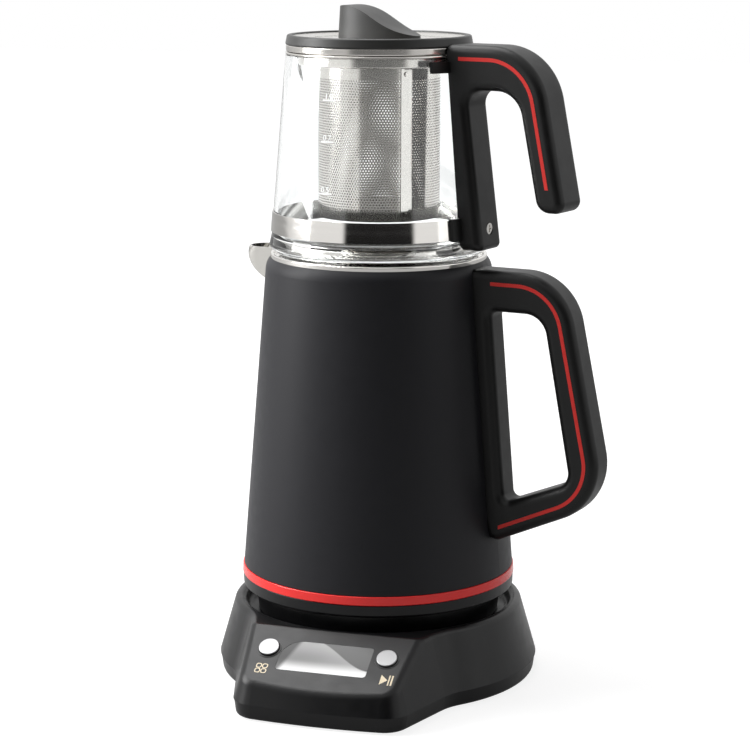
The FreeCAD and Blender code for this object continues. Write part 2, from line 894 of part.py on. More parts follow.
# Control panel: window, display module, board, switches, bezels and the two push buttons
window_plate = make_window("display_window_plate", Size.of(-0.1), s.window_thick, s.window_thick - 0.1)
finish(window_plate, "display_window")
module_depth = s.window_thick + s.module_height
module = make_window("module_block", -s.window_ledge - 0.5, module_depth, s.module_height)
finish(module, "display_module")
board = panel_plate(
    "board_plate",
    s.board_width,
    s.board_depth,
    module_depth + s.board_thick,
    s.board_thick,
    Size.of(0),
    s.window_up_panel,
)
finish(board, "control_board")
cap_bottom = s.button_height - s.button_proud
switches, bezels = [], []
for side, sign in SIDES.items():
    reach = sign * s.button_spread
    spot = (reach, s.button_up_panel)
    stem_end = cap_bottom + s.button_travel
    switch = panel_plate(
        "switch_" + side,
        s.switch_side,
        s.switch_side,
        module_depth,
        module_depth - cap_bottom - s.stem_length - s.button_travel - 0.2,
        reach,
        s.button_up_panel,
    )
    switches.append(switch)
    ring_outer = panel_cylinder(
        "bezel_rim_" + side,
        s.button_radius + s.button_clear + s.bezel_width - 0.05,
        *spot,
        s.bezel_height - s.bezel_proud,
        s.bezel_height
    )
    ring_inner = panel_cylinder(
        "bezel_bore_" + side, s.button_radius + s.button_clear, *spot, s.bezel_height, 3 * s.bezel_height
    )
    bezels.append(cut("bezel_" + side, ring_outer, ring_inner))
    cap = new_body("button_cap_" + side)
    cap_edge = circle_sketch(cap, "cap_edge_" + side, "XY_Plane", s.button_radius)
    disc = pad(cap, "cap_disc_" + side, cap_edge, s.button_height)
    doc.recompute()
    face_level = s.button_height.number - 0.01
    rim = edges_where(disc.Shape, lambda e: e.BoundBox.ZMin > face_level and len(e.Vertexes) == 1)
    round_edges(cap, "cap_round_" + side, disc, rim, Size.of(0.5))
    stem = circle_sketch(cap, "stem_edge_" + side, "XY_Plane", s.stem_radius)
    pad(cap, "stem_" + side, stem, s.stem_length, reverse=True)
    place(cap, across_panel(reach, s.button_up_panel, cap_bottom), s.panel_slope)
    finish(cap, "button_" + side)
group("panel_switches", switches)
group("button_bezels", bezels)

# Power board and relay on the tray's floor
board_level = s.tray_clear + s.tray_floor + 0.2
power_board = place(
    box("power_board_plate", s.power_board_length, s.power_board_width, s.board_thick),
    (-s.power_board_length / 2, 0 - s.power_board_width / 2, board_level),
)
finish(power_board, "power_board")
relay = place(
    box("relay_block", s.relay_length, s.relay_width, s.relay_height),
    (-s.relay_length / 2, 0 - s.relay_width / 2, board_level + s.board_thick),
)
finish(relay, "power_relay")


# Kettle: thin jacket and vessel joined by the rim


def jacket_line(height):
    """Outer reach of the jacket's cone at a height."""
    fall = (s.jacket_bottom_radius - s.jacket_shoulder_radius) / (s.jacket_shoulder_height - s.band_height)
    return s.jacket_bottom_radius - (height - s.band_height) * fall


turn = s.kettle_turn
band_top = s.band_height + s.band_width
jacket_profile = [
    (s.band_radius - s.band_thick - 0.1, s.band_height),
    (s.band_radius - s.band_thick - 0.1, band_top),
    (jacket_line(band_top), band_top, 0.5),
    (jacket_line(s.jacket_top_height - 3), s.jacket_top_height - 3, s.shoulder_radius),
    (s.jacket_top_radius, s.jacket_top_height),
    (s.jacket_top_radius - s.jacket_wall, s.jacket_top_height),
    (jacket_line(s.jacket_top_height - 3) - s.jacket_wall, s.jacket_top_height - 3.6, s.shoulder_radius),
    (jacket_line(band_top + 6) - s.jacket_wall, band_top + 6),
    (s.band_radius - s.band_thick - s.jacket_wall - 0.1, band_top + 3),
    (s.band_radius - s.band_thick - s.jacket_wall - 0.1, s.band_height),
]
jacket = turned("jacket", jacket_profile)
vessel_reach = s.jacket_wall + s.vessel_gap
vessel_top = s.rim_seat_height - s.rim_sheet
floor_top = s.vessel_floor_height
vessel_out = [
    (0, floor_top - s.vessel_wall),
    (jacket_line(floor_top) - vessel_reach - 1.6, floor_top - s.vessel_wall, s.vessel_floor_round),
    (jacket_line(vessel_top) - vessel_reach - 1.6, vessel_top),
]
inner_reach = vessel_reach + s.vessel_wall + 1.6
vessel_in = [
    (jacket_line(vessel_top) - inner_reach, vessel_top),
    (jacket_line(floor_top) - inner_reach, floor_top, s.vessel_floor_round - s.vessel_wall),
    (0, floor_top),
]
vessel = turned("vessel", vessel_out + vessel_in)

# Pouring spout: a short lip of bent sheet on the side away from the handle


def spout_solid(grow):
    """The spout's outside: a rolled lip that swells from the wall up to its tip."""
    wall = jacket_line(s.spout_root_height).number - 4
    back = jacket_line(s.spout_tip_height).number - 12
    root, tip = s.spout_root_height.number, s.spout_tip_height.number
    reach = s.spout_reach.number
    sections = []
    for rise, swell in ((0.0, 0.45), (0.25, 0.80), (0.6, 1.0), (1.0, 0.96)):
        out = wall + 3 + (reach - wall - 3) * swell + grow
        half = s.spout_half_width.number * (0.45 + 0.55 * rise) + grow
        height = root + (tip - root) * rise
        nose = Part.Arc(
            FreeCAD.Vector(-out + half * 0.9, half * 0.75, height),
            FreeCAD.Vector(-out, 0, height),
            FreeCAD.Vector(-out + half * 0.9, -half * 0.75, height),
        ).toShape()
        a, b = nose.Vertexes[0].Point, nose.Vertexes[1].Point
        c = FreeCAD.Vector(-back, b.y, height)
        d = FreeCAD.Vector(-back, a.y, height)
        sections.append(Part.Wire([nose, Part.makeLine(b, c), Part.makeLine(c, d), Part.makeLine(d, a)]))
    return Part.makeLoft(sections, True, False)


doc.recompute()
inside = spout_solid(-s.spout_sheet.number)
wall_tool = Part.makeCone(
    jacket_line(200).number,
    jacket_line(280).number,
    80,
    FreeCAD.Vector(0, 0, 200),
)
spout = feature("spout_sheet", spout_solid(0.0).cut(inside).cut(wall_tool))
below_rim = Part.makeBox(200, 80, 60, FreeCAD.Vector(-200, -40, s.jacket_shoulder_height.number - 52))
spout_tool = feature("spout_opening", inside.common(below_rim))
grip_screws, grip_holes = [], []
for number, height in enumerate((s.grip_screw_low_height, s.grip_screw_top_height), start=1):
    start = jacket_line(height) - s.jacket_wall - s.screw_head_height - 0.4
    head = cylinder("grip_screw_head_%d" % number, s.screw_head_radius, s.screw_head_height)
    shank = cylinder("grip_screw_shank_%d" % number, s.screw_radius, s.grip_screw_length)
    hole = cylinder("grip_screw_hole_%d" % number, s.screw_radius + 0.05, s.grip_screw_length + 0.3)
    for thing in (head, shank, hole):
        place(thing, (start, 0, height), Size.of(90), (0, 1, 0))
    grip_screws.append(fuse("grip_screw_%d" % number, head, shank))
    grip_holes.append(hole)
kettle_shell = cut("kettle_shell", jacket, spout_tool, *grip_holes)
finish(kettle_shell, "kettle_shell", turn)
kettle_vessel = cut("kettle_vessel", vessel, copy_of("vessel_opening", spout_tool))
finish(kettle_vessel, "kettle_vessel", turn)
finish(spout, "kettle_spout", turn)
seat = s.rim_seat_height
rim = turned(
    "rim_sheet_body",
    [
        (s.rim_mouth_radius, seat - 2.2),
        (s.rim_mouth_radius, seat, 0.5),
        (s.rim_step_radius, seat, 0.8),
        (s.rim_step_radius + 1.0, s.rim_height, 0.5),
        (s.rim_lip_radius, s.rim_height, 0.9),
        (s.rim_lip_radius, s.jacket_top_height),
        (s.rim_step_radius + 0.4, s.jacket_top_height),
        (s.rim_step_radius + 0.2, seat - s.rim_sheet),
        (s.rim_mouth_radius + s.rim_sheet, seat - s.rim_sheet),
        (s.rim_mouth_radius + s.rim_sheet, seat - 2.2),
    ],
)
finish(rim, "kettle_rim", turn)

# Foot of the kettle: red band, collar ring, underside cup, heater and socket
band = turned(
    "band_body",
    [
        (s.band_radius - s.band_thick, s.band_height + 0.05),
        (s.band_radius, s.band_height + 0.05, 0.5),
        (s.band_radius - 0.3, band_top - 0.05, 0.5),
        (s.band_radius - s.band_thick, band_top - 0.05),
    ],
)
finish(band, "red_band", turn)
ring_low = s.kettle_ring_height
ring = turned(
    "ring_body",
    [
        (s.kettle_foot_radius - 3, ring_low),
        (s.kettle_ring_radius, ring_low, 1.6),
        (s.kettle_ring_radius + 0.2, s.band_height - 0.05, 0.4),
        (s.kettle_foot_radius - 3, s.band_height - 0.05),
    ],
)
finish(ring, "kettle_ring", turn)
cup_low = s.dish_floor_height + s.kettle_foot_gap
socket_hole = s.connector_post_radius + 4.0
cup = turned(
    "cup_body",
    [
        (socket_hole + 2, cup_low + 3),
        (s.kettle_foot_radius - 8, cup_low + 3),
        (s.kettle_foot_radius - 6, cup_low),
        (s.kettle_foot_radius - 2, cup_low, 1.0),
        (s.kettle_foot_radius, ring_low),
        (s.kettle_foot_radius - s.under_wall, ring_low),
        (s.kettle_foot_radius - s.under_wall - 2, cup_low + 3 + s.under_wall, 2.0),
        (socket_hole + 2, cup_low + 3 + s.under_wall),
    ],
)
finish(cup, "kettle_underside", turn)
socket_top = post_top + s.connector_clear
socket = turned(
    "socket_body",
    [
        (s.connector_post_radius + s.connector_clear, cup_low + 2),
        (socket_hole + 2, cup_low + 2),
        (socket_hole + 2, socket_top + 3),
        (0, socket_top + 3),
        (0, socket_top),
        (s.connector_post_radius + s.connector_clear, socket_top),
    ],
)
finish(socket, "kettle_socket", turn)
heater = turned(
    "heater_body",
    [
        (0, floor_top - s.vessel_wall - s.heater_thick - 0.1),
        (s.heater_radius, floor_top - s.vessel_wall - s.heater_thick - 0.1, 0.8),
        (s.heater_radius, floor_top - s.vessel_wall - 0.1),
        (0, floor_top - s.vessel_wall - 0.1),
    ],
)
finish(heater, "heater_plate", turn)
element = doc.addObject("Part::Torus", "element_ring")
bind(element, "Radius1", s.element_ring_radius)
bind(element, "Radius2", s.element_radius)
place(element, (0, 0, floor_top - s.vessel_wall - s.heater_thick - 0.3 - s.element_radius))
finish(element, "heater_element")

# Handles: side outline, rounded edges, a cover strip along the outside and red inlays in both sides


def side_wire(corners):
    """The rounded outline of a handle in its own upright plane, as a wire."""
    spots = [FreeCAD.Vector(float(c[0]), 0, float(c[1])) for c in corners]
    radii = [float(c[2]) if len(c) > 2 else 0.0 for c in corners]
    count = len(corners)
    edges, last = [], None
    first = None
    for i in range(count):
        if radii[i]:
            start, middle, end = corner_arc(spots[i - 1], spots[i], spots[(i + 1) % count], radii[i])
        else:
            start = end = spots[i]
        if last is not None:
            edges.append(Part.makeLine(last, start))
        else:
            first = start
        if radii[i]:
            edges.append(Part.Arc(start, middle, end).toShape())
        last = end
    edges.append(Part.makeLine(last, first))
    return Part.Wire(edges)


def strip_between(wire, near, far, keep):
    """The strip of a handle's side between two insets from its outline, inside a kept region."""
    face = Part.Face(wire)
    outer_face = face.makeOffset2D(-near, 2) if near else face
    strip = outer_face.cut(face.makeOffset2D(-far, 2))
    points = [FreeCAD.Vector(x, 0, z) for x, z in keep]
    return strip.common(Part.Face(Part.makePolygon(points + points[:1])))


def along_y(face, start, length):
    moved = face.copy()
    moved.translate(FreeCAD.Vector(0, start, 0))
    return moved.extrude(FreeCAD.Vector(0, length, 0))


def handle_blank(name, corners, gap, width, outer_round, inner_round):
    """The whole handle: its side outline padded both ways, with a finger gap and rounded edges."""
    body = new_body(name)
    side = outline(body, name + "_outline", "XZ_Plane", corners)
    block = pad(body, name + "_side", side, width, both_ways=True)
    if gap:
        hole = outline(body, name + "_gap_outline", "XZ_Plane", gap)
        block = pocket(body, name + "_gap", hole, width * 2, both_ways=True)
    doc.recompute()
    half = width.number / 2
    on_side = lambda e: abs(abs(e.BoundBox.YMin) - half) < 0.01 and e.BoundBox.YLength < 0.01
    if gap:
        high, low = gap[0][1].number, gap[3][1].number
        near, far = gap[0][0].number, gap[2][0].number
        in_gap = lambda e: (
            near - 0.5 < e.BoundBox.XMin and e.BoundBox.XMax < far + 0.5
            and low - 0.5 < e.BoundBox.ZMin and e.BoundBox.ZMax < high + 0.5
        )
    else:
        in_gap = lambda e: False
    shape = block.Shape
    outer_edges = edges_where(shape, lambda e: on_side(e) and not in_gap(e) and e.BoundBox.XMax > 60)
    block = round_edges(body, name + "_outer_round", block, outer_edges, outer_round)
    doc.recompute()
    inner_edges = edges_where(block.Shape, lambda e: on_side(e) and in_gap(e))
    if inner_edges:
        round_edges(body, name + "_inner_round", block, inner_edges, inner_round)
        doc.recompute()
    return body


grip_top = s.jacket_top_height - s.grip_top_drop
gap_top = grip_top - s.grip_top_thick
grip_corners = [
    (s.jacket_top_radius - 8, grip_top),
    (s.grip_top_reach, grip_top, s.grip_bend_radius),
    (s.grip_low_reach, s.grip_low_height, s.grip_bend_radius),
    (s.grip_root_reach, s.grip_root_height, s.grip_root_radius),
    (s.grip_root_reach - 8, s.grip_root_height + 20),
]
grip_gap = [
    (s.gap_top_near_reach, gap_top, s.gap_near_radius),
    (s.gap_top_far_reach, gap_top, s.gap_top_radius),
    (s.gap_low_far_reach, s.gap_low_far_height, s.gap_low_far_radius),
    (s.gap_low_near_reach, s.gap_low_near_height, s.gap_near_radius),
]
grip = handle_blank(
    "grip_blank", grip_corners, grip_gap, s.grip_width, s.grip_outer_round, s.grip_inner_round
)
jacket_tool = turned(
    "jacket_tool",
    [
        (0, s.band_height),
        (jacket_line(s.band_height) + s.grip_seat_gap, s.band_height),
        (jacket_line(s.jacket_top_height - 3) + s.grip_seat_gap, s.jacket_top_height - 3, s.shoulder_radius),
        (s.jacket_top_radius + s.grip_seat_gap, s.jacket_top_height),
        (s.jacket_top_radius + s.grip_seat_gap, s.jacket_top_height + 20),
        (0, s.jacket_top_height + 20),
    ],
)
doc.recompute()
seated_grip = grip.Shape.cut(jacket_tool.Shape)
for hole in grip_holes:
    seated_grip = seated_grip.cut(hole.Shape)
group("kettle_handle_screws", grip_screws, turn)


def make_handle(prefix, seated, wire, half_width, keep, inset, turn_size):
    """Part the handle into body and cover along its parting line, and let in the two red inlays."""
    depth, proud = s.inlay_depth.number, s.inlay_proud.number
    half = half_width.number
    cover_zone = along_y(strip_between(wire, 0, s.cover_depth.number, keep), -half - 2, 2 * half + 4)
    stripe = strip_between(wire, inset.number, (inset + s.inlay_width).number, keep)
    groove_near = along_y(stripe, -half - 1, depth + 1)
    groove_far = along_y(stripe, half - depth, depth + 1)
    inlay_near = along_y(stripe, -half - proud, depth + proud)
    inlay_far = along_y(stripe, half - depth, depth + proud)
    cover = seated.common(cover_zone)
    body = seated.cut(cover_zone).cut(groove_near.fuse(groove_far))
    finish(feature(prefix + "_body", body), prefix, turn_size)
    finish(feature(prefix + "_cover_strip", cover), prefix + "_cover", turn_size)
    pair = feature(prefix + "_inlay_pair", Part.makeCompound([inlay_near, inlay_far]))
    finish(pair, prefix + "_inlays", turn_size)


grip_wire = side_wire(grip_corners)
grip_keep = [
    (s.inlay_top_start.number, grip_top.number + 9),
    (s.grip_low_reach.number + 9, grip_top.number + 9),
    (s.grip_low_reach.number + 9, s.grip_root_height.number - 9),
    (s.inlay_low_end.number, s.grip_root_height.number - 9),
    (s.inlay_low_end.number, s.gap_low_near_height.number),
    (s.inlay_top_start.number, gap_top.number),
]
make_handle("kettle_handle", seated_grip, grip_wire, s.grip_width / 2, grip_keep, s.inlay_inset, turn)

# Teapot: glass pot with a pouring lip, steel band, hook handle and its brackets
pot_turn = s.teapot_turn


def glass_line(height):
    fall = (s.glass_waist_radius - s.glass_rim_radius) / (s.glass_rim_height - s.glass_waist_height)
    return s.glass_waist_radius - (height - s.glass_waist_height) * fall


def glass_corners(inset, low, top):
    """Profile of the glass from its axis outwards and up, pulled in by an inset."""
    return [
        (0, low),
        (s.glass_foot_radius - inset, low, 2.0),
        (s.glass_bulge_radius - inset, s.glass_bulge_height, 3.0),
        (s.glass_waist_radius - inset, s.glass_waist_height, 6.0),
        (glass_line(top) - inset, top),
    ]


pot_profile = glass_corners(Size.of(0), s.glass_foot_height, s.glass_rim_height)
pot_out = turned("pot_outside", pot_profile + [(0, s.glass_rim_height)])
pot_in_low = s.glass_foot_height + s.glass_floor
pot_in = turned(
    "pot_inside",
    [
        (0, pot_in_low),
        (s.glass_foot_radius - s.glass_wall + 1, pot_in_low, 3.0),
        (s.glass_waist_radius - s.glass_wall, s.glass_waist_height, 8.0),
        (glass_line(s.glass_rim_height + 1) - s.glass_wall, s.glass_rim_height + 1),
        (0, s.glass_rim_height + 1),
    ],
)
doc.recompute()


def lip_cone(grow):
    """The pouring lip: a half cone leaning out from the rim, away from the handle."""
    rim_top = s.glass_rim_height.number
    low = rim_top - s.lip_drop.number * 2.2
    tip = s.lip_reach.number + grow
    root = glass_line(Size.of(low)).number - 14 + grow
    big, small = s.lip_half_width.number + grow, 3.0 + grow
    low_ring = Part.Circle(FreeCAD.Vector(-root + small - 12, 0, low), FreeCAD.Vector(0, 0, 1), small + 1)
    top_ring = Part.Circle(FreeCAD.Vector(-tip + big, 0, rim_top + 0.02), FreeCAD.Vector(0, 0, 1), big)
    return Part.makeLoft([Part.Wire([low_ring.toShape()]), Part.Wire([top_ring.toShape()])], True, True)


lip_out, lip_in = lip_cone(0.0), lip_cone(-s.glass_wall.number)
trim = Part.makeBox(300, 300, 20, FreeCAD.Vector(-150, -150, s.glass_rim_height.number))
glass_shape = pot_out.Shape.fuse(lip_out.cut(trim)).cut(pot_in.Shape).cut(lip_in)
finish(feature("glass_pot", glass_shape.removeSplitter()), "teapot_glass", pot_turn)
steel_low, steel_top = s.teapot_band_height, s.teapot_band_height + s.teapot_band_width


def hoop(name, low, top, gap, thick):
    """A thin hoop that follows the glass between two heights."""
    return turned(
        name,
        [
            (glass_line(low) + gap, low),
            (glass_line(low) + gap + thick, low),
            (glass_line(top) + gap + thick, top),
            (glass_line(top) + gap, top),
        ],
    )


finish(hoop("steel_hoop", steel_low, steel_top, 0.05, s.teapot_band_thick), "teapot_band", pot_turn)
hook_corners = [
    (s.basket_collar_radius, s.hook_top_height),
    (s.hook_top_reach, s.hook_top_height, s.hook_bend_radius),
    (s.hook_tip_reach, s.hook_tip_height, s.hook_tip_radius),
    (s.hook_tip_inner_reach, s.hook_tip_height, s.hook_tip_inner_radius),
    (s.hook_gap_far_reach, s.hook_gap_height, s.hook_gap_far_radius),
    (s.hook_gap_near_reach, s.hook_gap_height, s.hook_gap_near_radius),
    (s.column_foot_reach, s.column_foot_height, s.column_foot_radius),
    (s.basket_collar_radius, s.column_foot_height),
]
hook = handle_blank("hook_blank", hook_corners, None, s.hook_width, s.hook_outer_round, s.hook_outer_round)
band_out = s.teapot_band_thick + 0.15
glass_tool = turned(
    "glass_tool",
    [
        (0, s.column_foot_height - 5),
        (s.glass_bulge_radius + band_out, s.column_foot_height - 5),
        (glass_line(steel_low) + band_out, steel_low),
        (glass_line(s.glass_rim_height) + band_out, s.glass_rim_height),
        (s.lid_radius + s.lift_clear + 0.3, s.glass_rim_height),
        (s.lid_radius + s.lift_clear + 0.3, s.hook_top_height + 12),
        (0, s.hook_top_height + 12),
    ],
)
screw_bore = place(
    cylinder("column_screw_bore", s.column_screw_head_radius + 0.3, Size.of(30)),
    (s.column_foot_reach - 4.2, 0, s.column_screw_height),
    Size.of(90),
    (0, 1, 0),
)
doc.recompute()
seated_hook = hook.Shape.cut(glass_tool.Shape).cut(screw_bore.Shape)
hook_wire = side_wire(
    [
        (s.basket_collar_radius, s.hook_top_height),
        (s.hook_top_reach, s.hook_top_height, s.hook_bend_radius),
        (s.hook_tip_reach, s.hook_tip_height),
        (s.basket_collar_radius, s.hook_tip_height),
    ]
)
hook_keep = [
    (s.hook_inlay_top_start.number, s.hook_top_height.number + 9),
    (s.hook_tip_reach.number + 9, s.hook_top_height.number + 9),
    (s.hook_tip_reach.number + 9, s.hook_inlay_end_height.number),
    (s.hook_gap_far_reach.number, s.hook_inlay_end_height.number),
    (s.hook_gap_far_reach.number - 9, s.hook_gap_height.number),
    (s.hook_inlay_top_start.number, s.hook_gap_height.number),
]
make_handle(
    "teapot_handle", seated_hook, hook_wire, s.hook_width / 2, hook_keep, s.hook_inlay_inset, pot_turn
)


def wedge_of(hoop_body, spread, inner_keep):
    """The part of a hoop behind the handle, spread to both sides of it."""
    half = spread.number / 2
    block = Part.makeBox(60, 2 * half, 60, FreeCAD.Vector(30, -half, inner_keep - 30))
    return hoop_body.Shape.common(block)


# Brackets that clasp the steel band and the glass neck on each side of the column
clasp = hoop("clasp_hoop", steel_low - 0.6, steel_top + 0.6, band_out, s.bracket_thick)
neck_low = s.glass_rim_height - s.collar_drop
neck = hoop("neck_hoop", neck_low, neck_low + s.collar_height, 0.15, s.bracket_thick)
doc.recompute()
for label, hoop_body, spread in (
    ("band_bracket", clasp, s.bracket_spread),
    ("neck_bracket", neck, s.collar_spread),
):
    middle = (hoop_body.Shape.BoundBox.ZMin + hoop_body.Shape.BoundBox.ZMax) / 2
    finish(feature(label + "_wedge", wedge_of(hoop_body, spread, middle).cut(seated_hook)), label, pot_turn)
screw_face = s.column_foot_reach - 4.2
screw_shape = Part.makeCylinder(
    s.column_screw_head_radius.number,
    2.4,
    FreeCAD.Vector(screw_face.number, 0, s.column_screw_height.number),
    FreeCAD.Vector(1, 0, 0),
)
slot_length, slot_width = 4.4, 1.0
for turn_up in (0, 90):
    slot_corner = FreeCAD.Vector(
        screw_face.number + 1.6, -slot_length / 2, s.column_screw_height.number - slot_width / 2
    )
    slot = Part.makeBox(1.2, slot_length, slot_width, slot_corner)
    slot.rotate(FreeCAD.Vector(0, 0, s.column_screw_height.number), FreeCAD.Vector(1, 0, 0), turn_up)
    screw_shape = screw_shape.cut(slot)
finish(feature("column_screw", screw_shape), "teapot_handle_screw", pot_turn)

# Tea basket: flange on the glass rim, collar, sleeve, bottom, seam strip and rivets
rest = s.glass_rim_height + s.seat_clear
collar_low = rest - s.basket_collar_drop + 1.6
collar = turned(
    "collar_body",
    [
        (s.basket_collar_radius, rest),
        (s.basket_flange_radius, rest, 0.6),
        (s.basket_flange_radius, rest + s.basket_flange_thick, 0.7),
        (s.basket_collar_radius - s.basket_sheet, rest + s.basket_flange_thick),
        (s.basket_collar_radius - s.basket_sheet, collar_low + s.basket_sheet),
        (s.basket_radius - s.basket_sheet, collar_low + s.basket_sheet),
        (s.basket_radius - s.basket_sheet, collar_low - 3),
        (s.basket_radius, collar_low - 3),
        (s.basket_radius, collar_low),
        (s.basket_collar_radius, collar_low, 1.0),
    ],
)
finish(collar, "basket_collar", pot_turn)
sleeve = turned(
    "sleeve_body",
    [
        (s.basket_radius - s.basket_sheet, s.basket_bottom_height),
        (s.basket_radius, s.basket_bottom_height),
        (s.basket_radius, collar_low - 3.05),
        (s.basket_radius - s.basket_sheet, collar_low - 3.05),
    ],
)
finish(sleeve, "basket_sleeve", pot_turn)
bottom = turned(
    "bottom_body",
    [
        (0, s.basket_bottom_height),
        (s.basket_radius - s.basket_sheet - 0.05, s.basket_bottom_height),
        (s.basket_radius - s.basket_sheet - 0.05, s.basket_bottom_height + s.basket_rim_band),
        (s.basket_radius - 2 * s.basket_sheet - 0.05, s.basket_bottom_height + s.basket_rim_band),
        (s.basket_radius - 2 * s.basket_sheet - 0.05, s.basket_bottom_height + s.basket_sheet),
        (0, s.basket_bottom_height + s.basket_sheet),
    ],
)
finish(bottom, "basket_bottom", pot_turn)

# The seam strip stands on the sleeve's front and two rivets hold it
strip_turn = s.strip_turn
strip_body = turned(
    "strip_hoop",
    [
        (s.basket_radius + 0.05, s.basket_bottom_height),
        (s.basket_radius + 0.05 + s.basket_sheet, s.basket_bottom_height),
        (s.basket_radius + 0.05 + s.basket_sheet, collar_low - 0.1),
        (s.basket_radius + 0.05, collar_low - 0.1),
    ],
)
doc.recompute()
strip_half = s.strip_width.number / 2
strip_low = s.basket_bottom_height.number - 10
strip_block = Part.makeBox(80, 2 * strip_half, 120, FreeCAD.Vector(0, -strip_half, strip_low))
finish(feature("seam_strip", strip_body.Shape.common(strip_block)), "basket_strip", strip_turn)
rivets = []
for number, height in enumerate((s.basket_bottom_height + 3.5, collar_low - 4.0), start=1):
    rivet = place(
        cylinder("rivet_%d" % number, s.rivet_radius, Size.of(1.2)),
        (s.basket_radius + s.basket_sheet + 0.05, 0, height),
        Size.of(90),
        (0, 1, 0),
    )
    rivets.append(rivet)
group("basket_rivets", rivets, strip_turn)

# Lid: plastic ring, steel plate inside it, steel skirt that drops into the collar, and the knob
lid_top = s.lid_height + s.lid_ring_height
plate_top = lid_top - s.lid_plate_drop
ring_inner = s.lid_radius - s.lid_ring_width
lid_ring = turned(
    "lid_ring_body",
    [
        (ring_inner, s.lid_height),
        (s.lid_radius + 0.3, s.lid_height, 0.8),
        (s.lid_radius - 0.9, lid_top, s.lid_ring_round),
        (ring_inner, lid_top, 0.8),
    ],
)
finish(lid_ring, "lid_ring")
lid_plate = turned(
    "lid_plate_body",
    [
        (0, plate_top - s.lid_plate_thick - 1.6),
        (ring_inner - 8, plate_top - s.lid_plate_thick - 1.6),
        (ring_inner - 0.05, plate_top - s.lid_plate_thick),
        (ring_inner - 0.05, plate_top),
        (ring_inner - 8, plate_top - 1.6),
        (0, plate_top - 1.6),
    ],
)
finish(lid_plate, "lid_plate")
skirt_low = s.lid_lip_height - s.lid_skirt_depth
skirt = turned(
    "skirt_body",
    [
        (s.lid_skirt_radius - 1.0, skirt_low, 0.3),
        (s.lid_skirt_radius, skirt_low, 0.3),
        (s.lid_skirt_radius, s.lid_lip_height),
        (s.lid_lip_radius, s.lid_lip_height, 0.8),
        (s.lid_lip_radius, s.lid_height - 0.05, 0.5),
        (s.lid_skirt_radius - 1.0, s.lid_height - 0.05),
    ],
)
finish(skirt, "lid_skirt")
knob_base = plate_top.number - 1.6


def knob_oval(grow, height):
    """The knob's oval at one height: two side arcs and round ends."""
    half_l, half_w = s.knob_length.number / 2 + grow, s.knob_width.number / 2 + grow
    ellipse = Part.Ellipse(FreeCAD.Vector(0, 0, height), half_l, half_w)
    return Part.Wire([ellipse.toShape()])


knob_tall = s.knob_high.number + 6
knob_ends = [knob_oval(0.0, knob_base), knob_oval(-s.knob_taper.number, knob_tall)]
knob_solid = Part.makeLoft(knob_ends, True, True)
# the top falls from its high end in a long wave: shares of the length and of the fall
knob_wave = (
    (-0.62, 0.76),
    (-0.50, 0.92),
    (-0.37, 1.00),
    (-0.22, 0.95),
    (-0.07, 0.78),
    (0.11, 0.47),
    (0.30, 0.20),
    (0.50, 0.04),
    (0.62, 0.00),
)
length, fall = s.knob_length.number, s.knob_high.number - s.knob_low.number
side_y = -80
spots = [FreeCAD.Vector(along * length, side_y, s.knob_low.number + up * fall) for along, up in knob_wave]
wave = Part.BSplineCurve()
wave.interpolate(spots)
roof = knob_tall + 10
low_end, high_end = spots[-1], spots[0]
corners = [
    low_end,
    FreeCAD.Vector(low_end.x, side_y, roof),
    FreeCAD.Vector(high_end.x, side_y, roof),
    high_end,
]
knob_wire = Part.Wire([wave.toShape()] + Part.makePolygon(corners).Edges)
knob_cut = Part.Face(knob_wire).extrude(FreeCAD.Vector(0, -2 * side_y, 0))
knob_shape = knob_solid.cut(knob_cut)
knob_shape.translate(FreeCAD.Vector(s.knob_shift.number, 0, 0))
finish(feature("knob_body", knob_shape), "lid_knob", turn)
lid_screw = turned(
    "lid_screw_body",
    [
        (0, knob_base - s.lid_plate_thick - 2.4),
        (s.lid_screw_radius * 2, knob_base - s.lid_plate_thick - 2.4, 0.5),
        (s.lid_screw_radius * 2, knob_base - s.lid_plate_thick - 0.1),
        (0, knob_base - s.lid_plate_thick - 0.1),
    ],
)
finish(lid_screw, "lid_screw")


def export():
    """Check every sub-part and write it to its file."""
    doc.recompute()
    os.makedirs("parts", exist_ok=True)
    for thing in doc.Objects:
        if any(word in thing.State for word in ("Invalid", "Error")):
            raise RuntimeError("%s: %s" % (thing.Name, thing.State))
    for thing in parts:
        if thing.Shape.isNull() or not thing.Shape.isValid():
            raise RuntimeError("%s has no valid shape" % thing.Label)
        thing.Shape.exportStep("parts/%s.step" % thing.Label)
        reach = thing.Shape.BoundBox
        spans = (reach.ZMin, reach.ZMax, reach.XMin, reach.XMax)
        facts = (thing.Label, len(thing.Shape.Solids), thing.Shape.Volume)
        print("%-22s solids %d  volume %9.0f" % facts + "  z %6.1f to %6.1f  x %6.1f to %6.1f" % spans)


export()
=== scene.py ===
"""Looks of an automatic tea maker: a kettle on a wide black base, with a glass teapot on top of it.

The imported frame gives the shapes. This script dresses each of them, models the fine pieces
that belong to the looks alone, and sets up the studio. Lengths are in metres.
"""

import logging
import math
from dataclasses import dataclass
from enum import Enum
from typing import Callable, Iterable, Sequence

